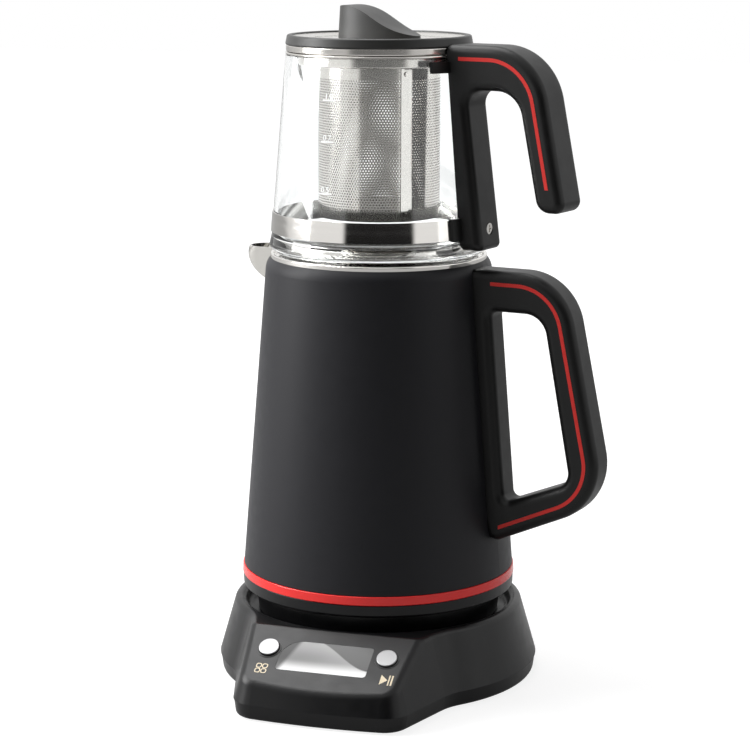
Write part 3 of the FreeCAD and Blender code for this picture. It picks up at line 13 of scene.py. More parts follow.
import bpy
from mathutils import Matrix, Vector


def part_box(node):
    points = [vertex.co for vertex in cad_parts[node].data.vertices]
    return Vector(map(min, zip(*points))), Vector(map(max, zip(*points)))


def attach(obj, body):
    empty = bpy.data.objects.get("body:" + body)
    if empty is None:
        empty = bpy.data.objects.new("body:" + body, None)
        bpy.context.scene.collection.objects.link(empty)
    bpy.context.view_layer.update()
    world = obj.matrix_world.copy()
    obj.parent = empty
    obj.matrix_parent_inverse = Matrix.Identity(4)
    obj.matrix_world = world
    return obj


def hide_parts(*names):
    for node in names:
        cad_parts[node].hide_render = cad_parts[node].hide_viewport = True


logging.basicConfig(level=logging.INFO, format="%(message)s")
LOG = logging.getLogger("tea_maker")

Colour = tuple[float, float, float]
Point = tuple[float, float, float]
Span = tuple[float, float]

MM = 0.001

# size of a ring whose points are all moved afterwards
BLANK_RADIUS = 0.01
# sideways distance below which a lamp hangs straight above its target
STRAIGHT_ABOVE = 1e-6
# the broad pattern of a finish against its grain, and the octaves of both
BROAD_SHARE = 0.06
BROAD_DETAIL = 2
FINE_DETAIL = 3
# the part of a noise pattern's range that its values fill
NOISE_SPAN = (0.3, 0.7)
# length of brushed grain against its width
AROUND_STRETCH = 2
# colour sockets of a mix node
MIX_FIRST, MIX_SECOND, MIX_RESULT = 6, 7, 2


class Grain(Enum):
    """How the fine texture of a finish runs."""

    SPECKLE = "speckle"
    AROUND = "around"


class Way(Enum):
    """Form of the way from one value to another."""

    SMOOTH = "SMOOTHSTEP"
    STRAIGHT = "LINEAR"


def combined(
    tree: bpy.types.NodeTree, operation: str, *values: float | bpy.types.NodeSocket
) -> bpy.types.NodeSocket:
    """Add a node that works out one number.

    Args:
        tree: The nodes that it joins.
        operation: What it does.
        values: Plain numbers, or the sockets that they come from.

    Returns:
        The result.
    """
    node = tree.nodes.new("ShaderNodeMath")
    node.operation = operation
    for slot, value in zip(node.inputs, values):
        if isinstance(value, (int, float)):
            slot.default_value = value
        else:
            tree.links.new(value, slot)
    return node.outputs[0]


def ranged(
    tree: bpy.types.NodeTree,
    value: bpy.types.NodeSocket,
    span: Span,
    result: Span = (0.0, 1.0),
    way: Way = Way.SMOOTH,
) -> bpy.types.NodeSocket:
    """Map a number from one span to another.

    Args:
        tree: The nodes that it joins.
        value: The number.
        span: Its lowest and highest value.
        result: What these become.
        way: Form of the way between them.

    Returns:
        The mapped number.
    """
    node = tree.nodes.new("ShaderNodeMapRange")
    node.interpolation_type = way.value
    node.inputs["From Min"].default_value, node.inputs["From Max"].default_value = span
    node.inputs["To Min"].default_value, node.inputs["To Max"].default_value = result
    tree.links.new(value, node.inputs["Value"])
    return node.outputs["Result"]


def axes(tree: bpy.types.NodeTree, place: bpy.types.NodeSocket) -> bpy.types.NodeOutputs:
    """Split a place into its three axes.

    Args:
        tree: The nodes that it joins.
        place: The place.

    Returns:
        The outputs named X, Y and Z.
    """
    split = tree.nodes.new("ShaderNodeSeparateXYZ")
    tree.links.new(place, split.inputs[0])
    return split.outputs


def distance(tree: bpy.types.NodeTree, place: bpy.types.NodeSocket) -> bpy.types.NodeSocket:
    """Measure how far a place lies from the middle.

    Args:
        tree: The nodes that it joins.
        place: The place.

    Returns:
        The distance.
    """
    reach = tree.nodes.new("ShaderNodeVectorMath")
    reach.operation = "LENGTH"
    tree.links.new(place, reach.inputs[0])
    return reach.outputs["Value"]


@dataclass(frozen=True)
class Finish:
    """One surface finish of the tea maker, made as a material of nodes."""

    name: str
    colour: Colour
    roughness: float
    metallic: float = 0.0
    specular: float = 0.5
    coat: float = 0.0
    coat_roughness: float = 0.08
    transmission: float = 0.0
    ior: float = 1.5
    grain: Grain = Grain.SPECKLE
    grain_size: float = 0.8 * MM
    grain_depth: float = 0.01 * MM
    grain_strength: float = 0.25
    roughness_spread: float = 0.03
    shade_spread: float = 0.06
    # glow: painted light, an emission that makes a part shine though it is no lamp
    glow: float = 0.0

    def material(self) -> bpy.types.Material:
        """Make the material once, and give the same one afterwards.

        Returns:
            The finish's material.
        """
        label = "finish_" + self.name
        ready = bpy.data.materials.get(label)
        if ready is not None:
            return ready
        made = bpy.data.materials.new(label)
        made.use_nodes = True
        tree = made.node_tree
        shader = tree.nodes["Principled BSDF"]
        shader.inputs["Metallic"].default_value = self.metallic
        shader.inputs["Specular IOR Level"].default_value = self.specular
        shader.inputs["Coat Weight"].default_value = self.coat
        shader.inputs["Coat Roughness"].default_value = self.coat_roughness
        shader.inputs["Transmission Weight"].default_value = self.transmission
        shader.inputs["IOR"].default_value = self.ior
        # painted light: the part glows in its own colour, though it is no lamp
        if self.glow > 0:
            shader.inputs["Emission Color"].default_value = (*self.colour, 1)
            shader.inputs["Emission Strength"].default_value = self.glow
        place = self._grain_place(tree)
        broad = self._noise(tree, place, BROAD_SHARE / self.grain_size, BROAD_DETAIL)
        if self.grain_strength > 0:
            fine = self._noise(tree, place, 1 / self.grain_size, FINE_DETAIL)
            bump = tree.nodes.new("ShaderNodeBump")
            bump.inputs["Strength"].default_value = self.grain_strength
            bump.inputs["Distance"].default_value = self.grain_depth
            tree.links.new(fine, bump.inputs["Height"])
            tree.links.new(bump.outputs["Normal"], shader.inputs["Normal"])
        if self.roughness_spread > 0:
            self._rough(tree, broad, shader.inputs["Roughness"])
        else:
            shader.inputs["Roughness"].default_value = self.roughness
        self._tint(tree, broad, shader.inputs["Base Color"])
        return made

    def _grain_place(self, tree: bpy.types.NodeTree) -> bpy.types.NodeSocket:
        """Give the coordinates on which the grain lies.

        Args:
            tree: The material's nodes.

        Returns:
            The coordinates, stretched the way the grain runs.
        """
        where = tree.nodes.new("ShaderNodeTexCoord").outputs["Object"]
        if self.grain is Grain.SPECKLE:
            return where
        axis = axes(tree, where)
        flat = tree.nodes.new("ShaderNodeCombineXYZ")
        tree.links.new(axis["X"], flat.inputs["X"])
        tree.links.new(axis["Y"], flat.inputs["Y"])
        around = combined(tree, "ARCTAN2", axis["Y"], axis["X"])
        shrink = combined(tree, "MULTIPLY", around, self.grain_size * AROUND_STRETCH)
        laid = tree.nodes.new("ShaderNodeCombineXYZ")
        tree.links.new(distance(tree, flat.outputs[0]), laid.inputs["X"])
        tree.links.new(shrink, laid.inputs["Y"])
        tree.links.new(axis["Z"], laid.inputs["Z"])
        return laid.outputs[0]

    @staticmethod
    def _noise(
        tree: bpy.types.NodeTree, place: bpy.types.NodeSocket, scale: float, detail: float
    ) -> bpy.types.NodeSocket:
        """Add a noise pattern.

        Args:
            tree: The material's nodes.
            place: The coordinates that the noise reads.
            scale: Cells per metre.
            detail: Octaves of finer noise.

        Returns:
            The pattern's strength, from 0 to 1.
        """
        noise = tree.nodes.new("ShaderNodeTexNoise")
        noise.inputs["Scale"].default_value = scale
        noise.inputs["Detail"].default_value = detail
        tree.links.new(place, noise.inputs["Vector"])
        return noise.outputs["Fac"]

    def _rough(
        self, tree: bpy.types.NodeTree, pattern: bpy.types.NodeSocket, target: bpy.types.NodeSocket
    ) -> None:
        """Let the roughness wander a little over the surface.

        Args:
            tree: The material's nodes.
            pattern: The pattern that it follows.
            target: The shader's roughness.
        """
        least = max(self.roughness - self.roughness_spread, 0.0)
        most = self.roughness + self.roughness_spread
        tree.links.new(ranged(tree, pattern, NOISE_SPAN, (least, most), Way.STRAIGHT), target)

    def _tint(
        self, tree: bpy.types.NodeTree, pattern: bpy.types.NodeSocket, target: bpy.types.NodeSocket
    ) -> None:
        """Let the colour wander a little over the surface.

        Args:
            tree: The material's nodes.
            pattern: The pattern that it follows.
            target: The shader's colour.
        """
        mix = tree.nodes.new("ShaderNodeMix")
        mix.data_type = "RGBA"
        darker = [c * (1 - self.shade_spread) for c in self.colour]
        lighter = [min(c * (1 + self.shade_spread), 1.0) for c in self.colour]
        mix.inputs[MIX_FIRST].default_value = (*darker, 1)
        mix.inputs[MIX_SECOND].default_value = (*lighter, 1)
        tree.links.new(pattern, mix.inputs[0])
        tree.links.new(mix.outputs[MIX_RESULT], target)


BASE_BLACK = Finish(
    "satin_black_moulding", (0.004, 0.004, 0.0045), 0.34, specular=0.28, grain_size=0.5 * MM,
    grain_depth=0.005 * MM,
)
KETTLE_BLACK = Finish(
    "satin_charcoal_coat", (0.018, 0.018, 0.021), 0.46, specular=0.2, grain_size=0.4 * MM,
    grain_depth=0.005 * MM,
)
HANDLE_BLACK = Finish(
    "handle_moulding", (0.007, 0.007, 0.007), 0.40, specular=0.24, grain_size=0.5 * MM,
    grain_depth=0.006 * MM,
)
# the red ring glows a little: painted light that brightens its red
TRIM_RED = Finish(
    "gloss_red_ring", (0.80, 0.03, 0.028), 0.16, specular=0.3, coat=0.1, grain_depth=0.002 * MM,
    glow=0.18,
)
# the red inlay glows a little: painted light that brightens its red
INLAY_RED = Finish(
    "satin_red_inlay", (0.66, 0.035, 0.03), 0.4, specular=0.25, grain_depth=0.004 * MM, glow=0.12
)
BRUSHED_STEEL = Finish(
    "brushed_steel", (0.62, 0.60, 0.57), 0.18, 1.0, grain=Grain.AROUND, grain_size=0.35 * MM,
    grain_depth=0.004 * MM, grain_strength=0.35, roughness_spread=0.05,
)
POLISHED_STEEL = Finish(
    "polished_steel", (0.74, 0.72, 0.69), 0.10, 1.0, grain=Grain.AROUND, grain_size=0.3 * MM,
    grain_depth=0.002 * MM,
)
LID_STEEL = Finish(
    "lid_steel", (0.66, 0.645, 0.61), 0.22, 1.0, grain=Grain.AROUND, grain_size=0.4 * MM,
    grain_depth=0.004 * MM, grain_strength=0.3,
)
SLEEVE_STEEL = Finish(
    "sleeve_steel", (0.62, 0.60, 0.57), 0.15, 1.0, grain_size=0.5 * MM, grain_depth=0.002 * MM,
    roughness_spread=0.01, shade_spread=0.02,
)
BUTTON_SILVER = Finish(
    "satin_silver_button", (0.22, 0.22, 0.222), 0.34, 0.9, grain_size=1.2 * MM, grain_depth=0.03 * MM,
    shade_spread=0.12,
)
CLEAR_GLASS = Finish(
    "clear_glass", (0.985, 0.995, 0.995), 0.0, transmission=1.0, ior=1.47, grain_strength=0.0,
    roughness_spread=0.0, shade_spread=0.0,
)
LID_BLACK = Finish("knob_moulding", (0.034, 0.034, 0.033), 0.42, specular=0.36, grain_depth=0.005 * MM)
RUBBER = Finish("rubber_foot", (0.02, 0.02, 0.02), 0.8, grain_depth=0.03 * MM)
BOARD_GREEN = Finish("board_green", (0.02, 0.12, 0.05), 0.45)
MODULE_BLACK = Finish("module_black", (0.02, 0.02, 0.022), 0.55)
ALUMINIUM = Finish("cast_aluminium", (0.60, 0.60, 0.61), 0.45, 1.0, grain_depth=0.02 * MM)
BRASS = Finish("brass_pin", (0.70, 0.50, 0.22), 0.25, 1.0)
# the printed marks glow: painted light that makes them bright
MARK_WHITE = Finish("printed_mark", (0.85, 0.86, 0.87), 0.6, glow=0.45, grain_depth=0.002 * MM)
# the printed icons glow a little: painted light that brightens them
ICON_BEIGE = Finish("printed_icon", (0.72, 0.62, 0.45), 0.55, glow=0.12, grain_depth=0.002 * MM)


def dress(finish: Finish, *names: str) -> None:
    """Give a finish to nodes of the frame.

    Args:
        finish: The finish.
        names: The nodes that take it.
    """
    for name in names:
        mesh = NODES[name].data
        mesh.materials.clear()
        mesh.materials.append(finish.material())
        LOG.info("dressed %s in %s", name, finish.name)


def deselect() -> None:
    """Leave nothing selected, so that the next operator acts on its own piece alone."""
    if bpy.context.object is not None and bpy.context.object.mode != "OBJECT":
        bpy.ops.object.mode_set(mode="OBJECT")
    bpy.ops.object.select_all(action="DESELECT")


def lone(piece: bpy.types.Object) -> None:
    """Make a piece the only selected one, and the active one.

    Args:
        piece: The piece.
    """
    deselect()
    piece.select_set(True)
    bpy.context.view_layer.objects.active = piece


def settle(piece: bpy.types.Object) -> None:
    """Put a piece's place, turn and scale into its mesh.

    Args:
        piece: The piece.
    """
    lone(piece)
    bpy.ops.object.transform_apply(location=True, rotation=True, scale=True)


def tidy_mesh(piece: bpy.types.Object, gap: float = 0.002 * MM) -> None:
    """Merge doubled points and turn the faces outwards.

    Args:
        piece: The piece.
        gap: Points nearer to each other than this become one.
    """
    lone(piece)
    bpy.ops.object.mode_set(mode="EDIT")
    bpy.ops.mesh.select_all(action="SELECT")
    bpy.ops.mesh.remove_doubles(threshold=gap)
    bpy.ops.mesh.normals_make_consistent(inside=False)
    bpy.ops.object.mode_set(mode="OBJECT")


def complete(
    piece: bpy.types.Object, name: str, body: str, finish: Finish, smooth: float = 40
) -> None:
    """Name, shade, dress and hang a piece on its body.

    Args:
        piece: The piece, with its place in its mesh.
        name: Its name.
        body: The body that it rides on.
        finish: Its finish.
        smooth: The edge angle up to which it is shaded smooth, in degrees.
    """
    piece.name = name
    piece.data.name = name
    piece.data.materials.clear()
    piece.data.materials.append(finish.material())
    lone(piece)
    bpy.ops.object.shade_smooth_by_angle(angle=math.radians(smooth))
    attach(piece, body)
    LOG.info("built %s: %d faces", name, len(piece.data.polygons))


def spun(corners: Sequence[tuple[float, float]], steps: int) -> bpy.types.Object:
    """Turn a closed outline round the upright axis.

    Args:
        corners: The outline's points as (radius, height).
        steps: How many steps the full turn has.

    Returns:
        The turned piece.
    """
    deselect()
    bpy.ops.mesh.primitive_circle_add(vertices=len(corners), radius=BLANK_RADIUS, fill_type="NOTHING")
    piece = bpy.context.object
    for point, (radius, height) in zip(piece.data.vertices, corners):
        point.co = (radius, 0.0, height)
    bpy.ops.object.mode_set(mode="EDIT")
    bpy.ops.mesh.select_all(action="SELECT")
    bpy.ops.mesh.spin(steps=steps, angle=2 * math.pi, center=(0, 0, 0), axis=(0, 0, 1))
    bpy.ops.object.mode_set(mode="OBJECT")
    tidy_mesh(piece)
    return piece


def remap(piece: bpy.types.Object, rule: Callable[[float, float, float], Point]) -> None:
    """Move each point of a piece by a rule.

    Args:
        piece: The piece.
        rule: Gives a point's new place from its old one.
    """
    for point in piece.data.vertices:
        point.co = rule(*point.co)
    piece.data.update()


def joined(pieces: Iterable[bpy.types.Object]) -> bpy.types.Object:
    """Join pieces into one mesh.

    Args:
        pieces: The pieces to join.

    Returns:
        The one piece that they became.
    """
    parts = list(pieces)
    deselect()
    for part in parts:
        part.select_set(True)
    bpy.context.view_layer.objects.active = parts[0]
    bpy.ops.object.join()
    return bpy.context.object


@dataclass(frozen=True)
class Ramp:
    """A number that follows another one: a span of the one, and what its ends become."""

    span: Span
    result: Span = (0.0, 1.0)
    way: Way = Way.SMOOTH

    def along(self, tree: bpy.types.NodeTree, value: bpy.types.NodeSocket) -> bpy.types.NodeSocket:
        """Follow a number.

        Args:
            tree: The nodes that it joins.
            value: The number.

        Returns:
            The number that follows it.
        """
        return ranged(tree, value, self.span, self.result, self.way)


@dataclass(frozen=True)
class PaintedReflection:
    """The display's painted reflection: bright and dark shades painted into its colour, on places given as
    shares of its width and height.
    """

    roughness: float = 0.1
    specular: float = 0.2
    edge: Ramp = Ramp((0.30, 1.02), (1.08, 0.20))
    edge_blur: Ramp = Ramp((-0.02, 0.03))
    left_slant: float = 0.16
    left_edge: Ramp = Ramp((0.0, 0.07), (0.15, 1.0))
    lower: Ramp = Ramp((0.0, 0.42), (0.85, 0.20))
    upper: Ramp = Ramp((0.45, 1.0), (0.0, 0.16))
    right: Ramp = Ramp((0.2, 1.0), (0.0, 0.16))
    dark: Ramp = Ramp((0.3, 1.0), (0.07, 0.12), Way.STRAIGHT)


@dataclass(frozen=True)
class Panel:
    """The base's sloped control panel."""

    front_reach: float = 127.4 * MM
    front_height: float = 22.0 * MM
    slope: float = math.radians(31)
    icon_height: float = 0.06 * MM
    icon_gap: float = 0.02 * MM
    icon_half: float = 3.8 * MM
    play_tip: float = 0.15
    bars: tuple[Span, ...] = ((0.28, 0.50), (0.72, 0.98))
    pad_corners: int = 24
    pad_half: float = 0.47
    pad_place: float = 1.06
    pad_power: int = 3
    pad_hole: float = 0.66
    # painted reflection on the display: its bright and dark shades go into the colour
    painted_reflection_shades: PaintedReflection = PaintedReflection()
    window_left: float = -29.0 * MM
    window_right: float = 27.0 * MM
    window_low: float = 14.7 * MM
    window_high: float = 37.7 * MM
    left_icon: tuple[float, float] = (-37.0 * MM, 14.3 * MM)
    right_icon: tuple[float, float] = (40.2 * MM, 14.5 * MM)

    def spot(self, across: float, up: float, out: float) -> Point:
        """Give a place on the panel.

        Args:
            across: Distance to the right of its middle.
            up: Distance up the slope from its front edge.
            out: Distance out of its face.

        Returns:
            The place in the frame.
        """
        return (
            across,
            -self.front_reach + up * math.cos(self.slope) - out * math.sin(self.slope),
            self.front_height + up * math.sin(self.slope) + out * math.cos(self.slope),
        )

    def plate(
        self, outline: Sequence[tuple[float, float]], at: tuple[float, float], share: float = 0.0
    ) -> bpy.types.Object:
        """Make a thin printed shape that lies on the panel.

        Args:
            outline: Its corners about its own middle, sideways and up.
            at: Its middle, across and up the panel.
            share: Size of a hole of the same form in it, 0 for none.

        Returns:
            The shape.
        """
        deselect()
        bpy.ops.mesh.primitive_circle_add(vertices=len(outline), radius=BLANK_RADIUS, fill_type="NGON")
        piece = bpy.context.object
        for point, (side, rise) in zip(piece.data.vertices, outline):
            point.co = (side, rise, 0.0)
        bpy.ops.object.mode_set(mode="EDIT")
        bpy.ops.mesh.select_all(action="SELECT")
        if share > 0:
            bpy.ops.mesh.inset(thickness=0.0)
            bpy.ops.transform.resize(value=(share, share, 1), center_override=(0, 0, 0))
            bpy.ops.mesh.delete(type="FACE")
            bpy.ops.mesh.select_all(action="SELECT")
        bpy.ops.mesh.extrude_region_move(TRANSFORM_OT_translate={"value": (0, 0, self.icon_height)})
        bpy.ops.object.mode_set(mode="OBJECT")
        tidy_mesh(piece)
        remap(piece, lambda x, y, z: self.spot(at[0] + x, at[1] + y, z + self.icon_gap))
        return piece

    def painted_reflection(self) -> bpy.types.Material:
        """Make the display's dark glass with a curved bright band painted into its colour, a painted
        reflection.

        Returns:
            The material, its pattern worked out from places across and up the panel.
        """
        made = bpy.data.materials.new("display_painted_reflection")
        made.use_nodes = True
        tree = made.node_tree
        shader = tree.nodes["Principled BSDF"]
        shades = self.painted_reflection_shades
        shader.inputs["Roughness"].default_value = shades.roughness
        shader.inputs["Specular IOR Level"].default_value = shades.specular
        axis = axes(tree, tree.nodes.new("ShaderNodeTexCoord").outputs["Object"])
        width = (self.window_left, self.window_right)
        low, high = (
            up * math.cos(self.slope) - self.front_reach for up in (self.window_low, self.window_high)
        )
        across = ranged(tree, axis["X"], width, way=Way.STRAIGHT)
        up = ranged(tree, axis["Y"], (low, high), way=Way.STRAIGHT)
        # painted reflection: a painted highlight below a curved edge, dark above it
        above = shades.edge_blur.along(tree, combined(tree, "SUBTRACT", up, shades.edge.along(tree, across)))
        slant = combined(tree, "SUBTRACT", across, combined(tree, "MULTIPLY", up, shades.left_slant))
        # painted shade towards the display's left edge
        inside = shades.left_edge.along(tree, slant)
        rise = combined(tree, "ADD", shades.lower.along(tree, up), shades.upper.along(tree, up))
        bright = combined(tree, "ADD", rise, shades.right.along(tree, across))
        gap = combined(tree, "SUBTRACT", shades.dark.along(tree, up), bright)
        fall = combined(tree, "MULTIPLY", gap, above)
        shade = combined(tree, "MULTIPLY", combined(tree, "ADD", bright, fall), inside)
        # the painted reflection becomes the display's base colour
        tree.links.new(shade, shader.inputs["Base Color"])
        return made

    def build(self) -> None:
        """Dress the display with its painted reflection and print the two generic icons beside the buttons.
        """
        window = NODES["display_window"].data
        window.materials.clear()
        window.materials.append(self.painted_reflection())
        petals = [self._petal(side, rise) for side in (-1, 1) for rise in (-1, 1)]
        complete(joined(petals), "icon_pads", "base", ICON_BEIGE)
        half = self.icon_half
        play = [(-half, -half), (self.play_tip * half, 0.0), (-half, half)]
        bars = [
            [(low * half, -half), (high * half, -half), (high * half, half), (low * half, half)]
            for low, high in self.bars
        ]
        shapes = [self.plate(shape, self.right_icon) for shape in [play, *bars]]
        complete(joined(shapes), "icon_start", "base", ICON_BEIGE)

    def _petal(self, side: int, rise: int) -> bpy.types.Object:
        """Make one of four rounded pads, drawn as an outline.

        Args:
            side: Left or right of the icon's middle.
            rise: Below or above it.

        Returns:
            The outline, laid on the panel.
        """
        size, power = self.icon_half * self.pad_half, self.pad_power
        pad: list[tuple[float, float]] = []
        for i in range(self.pad_corners):
            turn = 2 * math.pi * i / self.pad_corners
            shrink = (abs(math.cos(turn)) ** power + abs(math.sin(turn)) ** power) ** (1 / power)
            pad.append((size * math.cos(turn) / shrink, size * math.sin(turn) / shrink))
        middle = (
            self.left_icon[0] + side * size * self.pad_place,
            self.left_icon[1] + rise * size * self.pad_place,
        )
        return self.plate(pad, middle, share=self.pad_hole)


@dataclass(frozen=True)
class PowerBase:
    """The wide black base with the panel and its electronics."""

    def build(self) -> None:
        """Dress the base and print its icons."""
        dress(BASE_BLACK, "base_top_shell", "base_tray", "screw_pillars", "cord_gland", "power_connector")
        dress(BASE_BLACK, "button_bezels")
        dress(RUBBER, "foot_ring")
        dress(POLISHED_STEEL, "base_screws")
        dress(BRASS, "connector_pin")
        dress(MODULE_BLACK, "display_module", "panel_switches", "power_relay")
        dress(BOARD_GREEN, "control_board", "power_board")
        dress(BUTTON_SILVER, "button_left", "button_right")
        Panel().build()


@dataclass(frozen=True)
class Kettle:
    """The black kettle with its red ring and handle."""

    def build(self) -> None:
        """Dress the kettle."""
        dress(KETTLE_BLACK, "kettle_shell")
        dress(LID_STEEL, "kettle_spout")
        dress(POLISHED_STEEL, "kettle_rim", "kettle_handle_screws")
        dress(BRUSHED_STEEL, "kettle_vessel")
        dress(TRIM_RED, "red_band")
        dress(BASE_BLACK, "kettle_ring", "kettle_underside", "kettle_socket")
        dress(ALUMINIUM, "heater_plate", "heater_element")
        dress(HANDLE_BLACK, "kettle_handle", "kettle_handle_cover")
        dress(INLAY_RED, "kettle_handle_inlays")


@dataclass(frozen=True)
class Teapot:
    """The clear glass teapot with its steel band, its handle and the level marks."""

    marks: tuple[tuple[float, str], ...] = ((359.4 * MM, "1.0"), (335.3 * MM, "0.7"), (305.1 * MM, "0.5"))
    mark_turn: float = math.radians(-103.2)
    mark_width: float = 8 * MM
    mark_line: float = 0.7 * MM
    line_parts: int = 8
    line_thickness: float = 0.04 * MM
    number_size: float = 4.6 * MM
    number_curve: int = 4
    number_half: float = 0.02 * MM
    number_rise: float = 0.8 * MM
    print_gap: float = 0.06 * MM
    waist: tuple[float, float] = (65.6 * MM, 274.5 * MM)
    rim: tuple[float, float] = (56.6 * MM, 383.0 * MM)

    def wall(self, height: float) -> float:
        """Give the glass's outer radius at a height.

        Args:
            height: The height.

        Returns:
            The radius.
        """
        share = (height - self.waist[1]) / (self.rim[1] - self.waist[1])
        return self.waist[0] + share * (self.rim[0] - self.waist[0])

    def wrap(self, piece: bpy.types.Object, middle: float) -> None:
        """Lay a flat print on the glass.

        Args:
            piece: The print, in the plane of x and y, its thickness along z.
            middle: The height of its middle.
        """

        def rule(x: float, y: float, z: float) -> Point:
            """Give a print's point its place on the glass.

            Args:
                x: Its distance to the right of the print's middle.
                y: Its distance above it.
                z: Its distance out of the print's back.

            Returns:
                The place.
            """
            height = middle + y
            radius = self.wall(height) + self.print_gap + z
            turn = self.mark_turn + x / self.wall(height)
            return (radius * math.cos(turn), radius * math.sin(turn), height)

        remap(piece, rule)

    def build(self) -> None:
        """Dress the teapot and print its level marks."""
        dress(CLEAR_GLASS, "teapot_glass")
        dress(POLISHED_STEEL, "teapot_band", "teapot_handle_screw")
        dress(HANDLE_BLACK, "teapot_handle", "teapot_handle_cover", "band_bracket", "neck_bracket")
        dress(INLAY_RED, "teapot_handle_inlays")
        prints: list[bpy.types.Object] = []
        for height, number in self.marks:
            prints.append(self._line(height))
            prints.append(self._number(height, number))
        complete(joined(prints), "level_marks", "teapot", MARK_WHITE)

    def _line(self, height: float) -> bpy.types.Object:
        """Make one level line.

        Args:
            height: Its height.

        Returns:
            The line, laid on the glass.
        """
        deselect()
        bpy.ops.mesh.primitive_grid_add(x_subdivisions=self.line_parts, y_subdivisions=1, size=1)
        piece = bpy.context.object
        piece.scale = (self.mark_width, self.mark_line, 1)
        settle(piece)
        bpy.ops.object.mode_set(mode="EDIT")
        bpy.ops.mesh.select_all(action="SELECT")
        bpy.ops.mesh.extrude_region_move(TRANSFORM_OT_translate={"value": (0, 0, self.line_thickness)})
        bpy.ops.object.mode_set(mode="OBJECT")
        tidy_mesh(piece)
        self.wrap(piece, height)
        return piece

    def _number(self, height: float, number: str) -> bpy.types.Object:
        """Make one plain number above its line.

        Args:
            height: The line's height.
            number: The number.

        Returns:
            The number, laid on the glass.
        """
        deselect()
        bpy.ops.object.text_add()
        piece = bpy.context.object
        piece.data.body = number
        piece.data.size = self.number_size
        piece.data.align_x = "CENTER"
        piece.data.extrude = self.number_half
        piece.data.resolution_u = self.number_curve
        bpy.ops.object.convert(target="MESH")
        piece = bpy.context.object
        remap(piece, lambda x, y, z: (x, y + self.number_rise, z + self.number_half))
        self.wrap(piece, height)
        return piece


@dataclass(frozen=True)
class Basket:
    """The perforated steel basket that hangs in the teapot."""

    radius: float = 37.0 * MM
    sheet: float = 0.5 * MM
    bottom_band: float = 6.0 * MM
    band_overlap: float = 0.3 * MM
    band_steps: int = 128
    holes_top: float = 370.0 * MM
    pitch: float = 1.8 * MM
    hole: float = 1.05 * MM
    hole_grow: float = 1.08
    first_row: float = 0.577
    merge_gap: float = 0.05 * MM
    mesh_smooth: float = 30

    def build(self) -> None:
        """Dress the basket and make its perforated sleeve."""
        dress(BRUSHED_STEEL, "basket_collar", "basket_bottom")
        dress(POLISHED_STEEL, "basket_rivets", "basket_strip")
        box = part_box("basket_sleeve")
        bottom, top = box[0][2], box[1][2]
        around = round(2 * math.pi * self.radius / self.pitch)
        step = 2 * math.pi / around
        tall = self.pitch * math.sqrt(3)
        low = bottom + self.bottom_band
        rows = round((self.holes_top - low) / tall)
        half = rows // 2
        lower = self._mesh_strip(around, half, low, step)
        upper = self._mesh_strip(around, rows - half, low + half * tall, step)
        end = low + rows * tall
        edges = [self._band(bottom, low + self.band_overlap), self._band(end - self.band_overlap, top)]
        bands = joined(edges)
        complete(lower, "sleeve_lower_mesh", "basket", SLEEVE_STEEL, self.mesh_smooth)
        complete(upper, "sleeve_upper_mesh", "basket", SLEEVE_STEEL, self.mesh_smooth)
        complete(bands, "sleeve_bands", "basket", SLEEVE_STEEL)
        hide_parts("basket_sleeve")

    def _band(self, low: float, high: float) -> bpy.types.Object:
        """Make a plain ring of the sleeve's sheet between two heights.

        Args:
            low: Its lower edge.
            high: Its upper edge.

        Returns:
            The ring.
        """
        inner = self.radius - self.sheet
        return spun([(inner, low), (self.radius, low), (self.radius, high), (inner, high)], self.band_steps)

    def _mesh_strip(self, around: int, rows: int, low: float, step: float) -> bpy.types.Object:
        """Make a perforated strip of the sleeve: six-sided cells, each with a hole, copied in rows.

        Args:
            around: Cells in a ring.
            rows: Pairs of rings.
            low: The strip's lower edge.
            step: Turn from one cell to the next.

        Returns:
            The strip, wrapped round the axis.
        """
        pitch = self.pitch
        cells = [self._cell(0.0, 0.0), self._cell(pitch / 2, pitch * math.sqrt(3) / 2)]
        piece = joined(cells)
        for count, shift in ((around, (pitch, 0, 0)), (rows, (0, pitch * math.sqrt(3), 0))):
            rank = piece.modifiers.new("rank", "ARRAY")
            rank.use_relative_offset = False
            rank.use_constant_offset = True
            rank.constant_offset_displace = shift
            rank.count = count
            lone(piece)
            bpy.ops.object.modifier_apply(modifier=rank.name)
        wall = piece.modifiers.new("wall", "SOLIDIFY")
        wall.thickness = self.sheet
        wall.offset = -1

        def rule(x: float, y: float, z: float) -> Point:
            """Wrap a flat point round the axis.

            Args:
                x: Its distance along the strip.
                y: Its distance across it.
                z: Its distance out of it, which is nought; not used.

            Returns:
                The place.
            """
            turn = x / pitch * step
            height = low + pitch * self.first_row + y
            return (self.radius * math.cos(turn), self.radius * math.sin(turn), height)

        remap(piece, rule)
        tidy_mesh(piece, self.merge_gap)
        bpy.ops.object.modifier_apply(modifier=wall.name)
        return piece

    def _cell(self, side: float, rise: float) -> bpy.types.Object:
        """Make one six-sided cell: a ring of six faces round a hole.

        Args:
            side: Its middle's distance along the strip.
            rise: Its middle's distance across the strip.

        Returns:
            The cell, flat.
        """
        deselect()
        bpy.ops.mesh.primitive_circle_add(
            vertices=6, radius=self.pitch / math.sqrt(3), fill_type="NOTHING", location=(side, rise, 0)
        )
        piece = bpy.context.object
        bpy.ops.object.transform_apply(location=True)
        bpy.ops.object.mode_set(mode="EDIT")
        bpy.ops.mesh.select_all(action="SELECT")
        bpy.ops.mesh.extrude_edges_move()
        share = self.hole / 2 / (self.pitch / math.sqrt(3)) * self.hole_grow
        bpy.ops.transform.resize(value=(share, share, 1), center_override=(side, rise, 0))
        bpy.ops.object.mode_set(mode="OBJECT")
        return piece


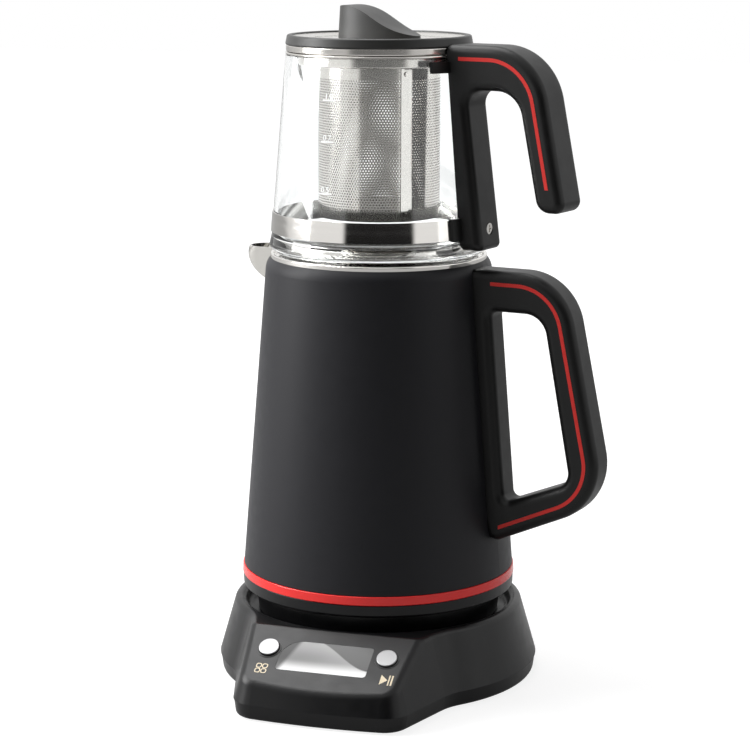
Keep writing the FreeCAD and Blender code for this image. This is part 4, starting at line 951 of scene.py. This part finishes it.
@dataclass(frozen=True)
class Lid:
    """The lid with its black ring, steel plate and oval knob."""

    def build(self) -> None:
        """Dress the lid."""
        dress(LID_BLACK, "lid_ring", "lid_knob")
        dress(LID_STEEL, "lid_plate")
        dress(BRUSHED_STEEL, "lid_skirt", "lid_screw")


@dataclass(frozen=True)
class Lamp:
    """One soft lamp, with its power in watts."""

    name: str
    place: Point
    size: Span
    power: float

    def hang(self, target: Point) -> None:
        """Hang the lamp in its place.

        Args:
            target: The point that it shines at.
        """
        deselect()
        bpy.ops.object.light_add(type="AREA", location=self.place)
        lamp = bpy.context.object
        lamp.name = self.name
        lamp.data.shape = "RECTANGLE"
        lamp.data.size, lamp.data.size_y = self.size
        lamp.data.energy = self.power
        away = [a - b for a, b in zip(lamp.location, target)]
        flat = math.hypot(away[0], away[1])
        heading = math.atan2(away[0], -away[1]) if flat > STRAIGHT_ABOVE else 0.0
        lamp.rotation_euler = (math.atan2(flat, away[2]), 0.0, heading)


@dataclass(frozen=True)
class Studio:
    """The floor, the lights and the camera, with angles in degrees."""

    camera_place: Point = (0.41083, -1.34376, 0.46750)
    camera_turn: Point = (78.672, -0.088, 17.110)
    lens: float = 111.1
    sensor: float = 36.0
    lamps: tuple[Lamp, ...] = (
        Lamp("left_lamp", (-1.6, -0.5, 1.0), (0.9, 1.6), 45.0),
        Lamp("right_lamp", (1.9, 0.1, 1.0), (0.9, 1.6), 3.0),
        Lamp("top_lamp", (-0.7, 0.25, 2.0), (1.5, 1.3), 36.0),
    )
    lamp_target: Point = (0.0, 0.0, 0.2)
    card_middle: float = -73.0
    card_half: float = 37.0
    card_edge: float = 3.0
    card_top: float = 35.0
    card_top_edge: float = 8.0
    card_shade: float = 0.015
    fill: float = 0.16
    floor_size: float = 12.0
    floor_parts: int = 4
    floor_shade: float = 0.3
    floor_glow: float = 0.85
    floor_mirror: float = 0.15
    floor_near: float = 0.35
    floor_far: float = 0.9

    def build(self) -> None:
        """Set up the floor, the world, the lamps and the camera."""
        bpy.context.scene.view_settings.view_transform = "Standard"
        self._floor()
        self._world()
        for lamp in self.lamps:
            lamp.hang(self.lamp_target)
        self._camera()

    def _floor(self) -> None:
        """Lay the pale floor, which keeps the object's shadow."""
        deselect()
        parts = self.floor_parts
        bpy.ops.mesh.primitive_grid_add(x_subdivisions=parts, y_subdivisions=parts, size=self.floor_size)
        floor = bpy.context.object
        floor.name = "floor"
        material = bpy.data.materials.new("pale_floor")
        material.use_nodes = True
        tree = material.node_tree
        tree.nodes.clear()
        out = tree.nodes.new("ShaderNodeOutputMaterial")
        add = tree.nodes.new("ShaderNodeAddShader")
        diffuse = tree.nodes.new("ShaderNodeBsdfDiffuse")
        diffuse.inputs["Color"].default_value = (*[self.floor_shade] * 3, 1)
        glow = tree.nodes.new("ShaderNodeEmission")
        tree.links.new(self._seen(tree), glow.inputs["Strength"])
        tree.links.new(diffuse.outputs[0], add.inputs[0])
        tree.links.new(glow.outputs[0], add.inputs[1])
        tree.links.new(add.outputs[0], out.inputs["Surface"])
        floor.data.materials.append(material)

    def _seen(self, tree: bpy.types.NodeTree) -> bpy.types.NodeSocket:
        """Give the floor's glow: full to the camera and through glass, weak in reflections.

        Args:
            tree: The floor's nodes.

        Returns:
            The strength of the glow.
        """
        path = tree.nodes.new("ShaderNodeLightPath")
        where = tree.nodes.new("ShaderNodeTexCoord").outputs["Object"]
        reach = (self.floor_near, self.floor_far)
        near = ranged(tree, distance(tree, where), reach, (self.floor_glow, 1.0), Way.STRAIGHT)
        # what metal behind glass reflects: the card in front stays dark on the floor as well
        mirrored = combined(tree, "MINIMUM", path.outputs["Glossy Depth"], 1.0)
        carded = combined(tree, "SUBTRACT", 1.0, self._beside(tree, where))
        kept = combined(tree, "SUBTRACT", 1.0, combined(tree, "MULTIPLY", mirrored, carded))
        seen = combined(tree, "MAXIMUM", path.outputs["Is Camera Ray"], path.outputs["Is Transmission Ray"])
        direct = combined(tree, "MULTIPLY", combined(tree, "MULTIPLY", seen, kept), near)
        glossy = combined(tree, "MULTIPLY", path.outputs["Is Glossy Ray"], self.floor_mirror)
        return combined(tree, "MAXIMUM", direct, glossy)

    def _beside(self, tree: bpy.types.NodeTree, where: bpy.types.NodeSocket) -> bpy.types.NodeSocket:
        """Give 0 in the directions of the dark card, and 1 beside it.

        Args:
            tree: The nodes that it joins.
            where: A direction or place seen from the object's axis.

        Returns:
            The share.
        """
        axis = axes(tree, where)
        turn = math.radians(self.card_middle)

        def along(share_x: float, share_y: float) -> bpy.types.NodeSocket:
            """Measure a place along one level direction.

            Args:
                share_x: How far the direction goes along x.
                share_y: How far it goes along y.

            Returns:
                The distance along it.
            """
            by_x = combined(tree, "MULTIPLY", axis["X"], share_x)
            return combined(tree, "ADD", by_x, combined(tree, "MULTIPLY", axis["Y"], share_y))

        ahead = along(math.cos(turn), math.sin(turn))
        aside = along(-math.sin(turn), math.cos(turn))
        angle = combined(tree, "ABSOLUTE", combined(tree, "ARCTAN2", aside, ahead))
        return ranged(tree, angle, self._blur(self.card_half, self.card_edge))

    @staticmethod
    def _blur(middle: float, half: float) -> Span:
        """Give the two ends of a soft edge.

        Args:
            middle: Its middle, in degrees.
            half: Half its width, in degrees.

        Returns:
            The ends, in radians.
        """
        return (math.radians(middle - half), math.radians(middle + half))

    def _world(self) -> None:
        """Make the white surroundings, with a dark card in front that gloss and metal reflect."""
        world = bpy.data.worlds.new("studio")
        bpy.context.scene.world = world
        world.use_nodes = True
        tree = world.node_tree
        tree.nodes.clear()
        out = tree.nodes.new("ShaderNodeOutputWorld")
        background = tree.nodes.new("ShaderNodeBackground")
        background.inputs["Color"].default_value = (1, 1, 1, 1)
        tree.links.new(background.outputs[0], out.inputs["Surface"])
        path = tree.nodes.new("ShaderNodeLightPath")
        where = tree.nodes.new("ShaderNodeTexCoord").outputs["Generated"]
        rise = combined(tree, "ARCSINE", axes(tree, where)["Z"])
        above = ranged(tree, rise, self._blur(self.card_top, self.card_top_edge))
        clear = combined(tree, "MAXIMUM", self._beside(tree, where), above)
        lit = combined(tree, "MULTIPLY", clear, 1 - self.card_shade)
        bright = combined(tree, "ADD", lit, self.card_shade)
        # reflections see the card; the camera, glass and plain light see white
        glossy = combined(tree, "MINIMUM", path.outputs["Glossy Depth"], 1.0)
        glossy = combined(tree, "MAXIMUM", glossy, path.outputs["Is Glossy Ray"])
        camera, transmission = path.outputs["Is Camera Ray"], path.outputs["Is Transmission Ray"]
        through = combined(tree, "MAXIMUM", camera, transmission)
        straight = combined(tree, "MULTIPLY", through, combined(tree, "SUBTRACT", 1.0, glossy))
        reflected = combined(tree, "MULTIPLY", glossy, bright)
        dim = combined(tree, "SUBTRACT", 1.0, combined(tree, "MAXIMUM", glossy, straight))
        plain = combined(tree, "MULTIPLY", combined(tree, "MULTIPLY", dim, bright), self.fill)
        strength = combined(tree, "ADD", combined(tree, "ADD", straight, reflected), plain)
        tree.links.new(strength, background.inputs["Strength"])

    def _camera(self) -> None:
        """Place the camera at the photograph's viewing angle."""
        deselect()
        bpy.ops.object.camera_add(
            location=self.camera_place, rotation=[math.radians(a) for a in self.camera_turn]
        )
        camera = bpy.context.object
        camera.name = "camera"
        camera.data.lens = self.lens
        camera.data.sensor_width = self.sensor
        bpy.context.scene.camera = camera


def main() -> None:
    """Build the tea maker's looks, group by group, and the studio round it."""
    for assembly in (PowerBase(), Kettle(), Teapot(), Basket(), Lid(), Studio()):
        LOG.info("assembly %s", type(assembly).__name__)
        assembly.build()


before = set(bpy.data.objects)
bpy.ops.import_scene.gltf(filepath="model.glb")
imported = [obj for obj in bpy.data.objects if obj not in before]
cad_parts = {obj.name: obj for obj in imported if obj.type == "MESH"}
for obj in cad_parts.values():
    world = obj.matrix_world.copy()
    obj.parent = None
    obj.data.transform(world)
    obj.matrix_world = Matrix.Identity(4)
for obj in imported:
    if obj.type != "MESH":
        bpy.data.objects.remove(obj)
NODES: dict[str, bpy.types.Object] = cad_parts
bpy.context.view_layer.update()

if __name__ == "__main__":
    main()
    bpy.context.view_layer.update()
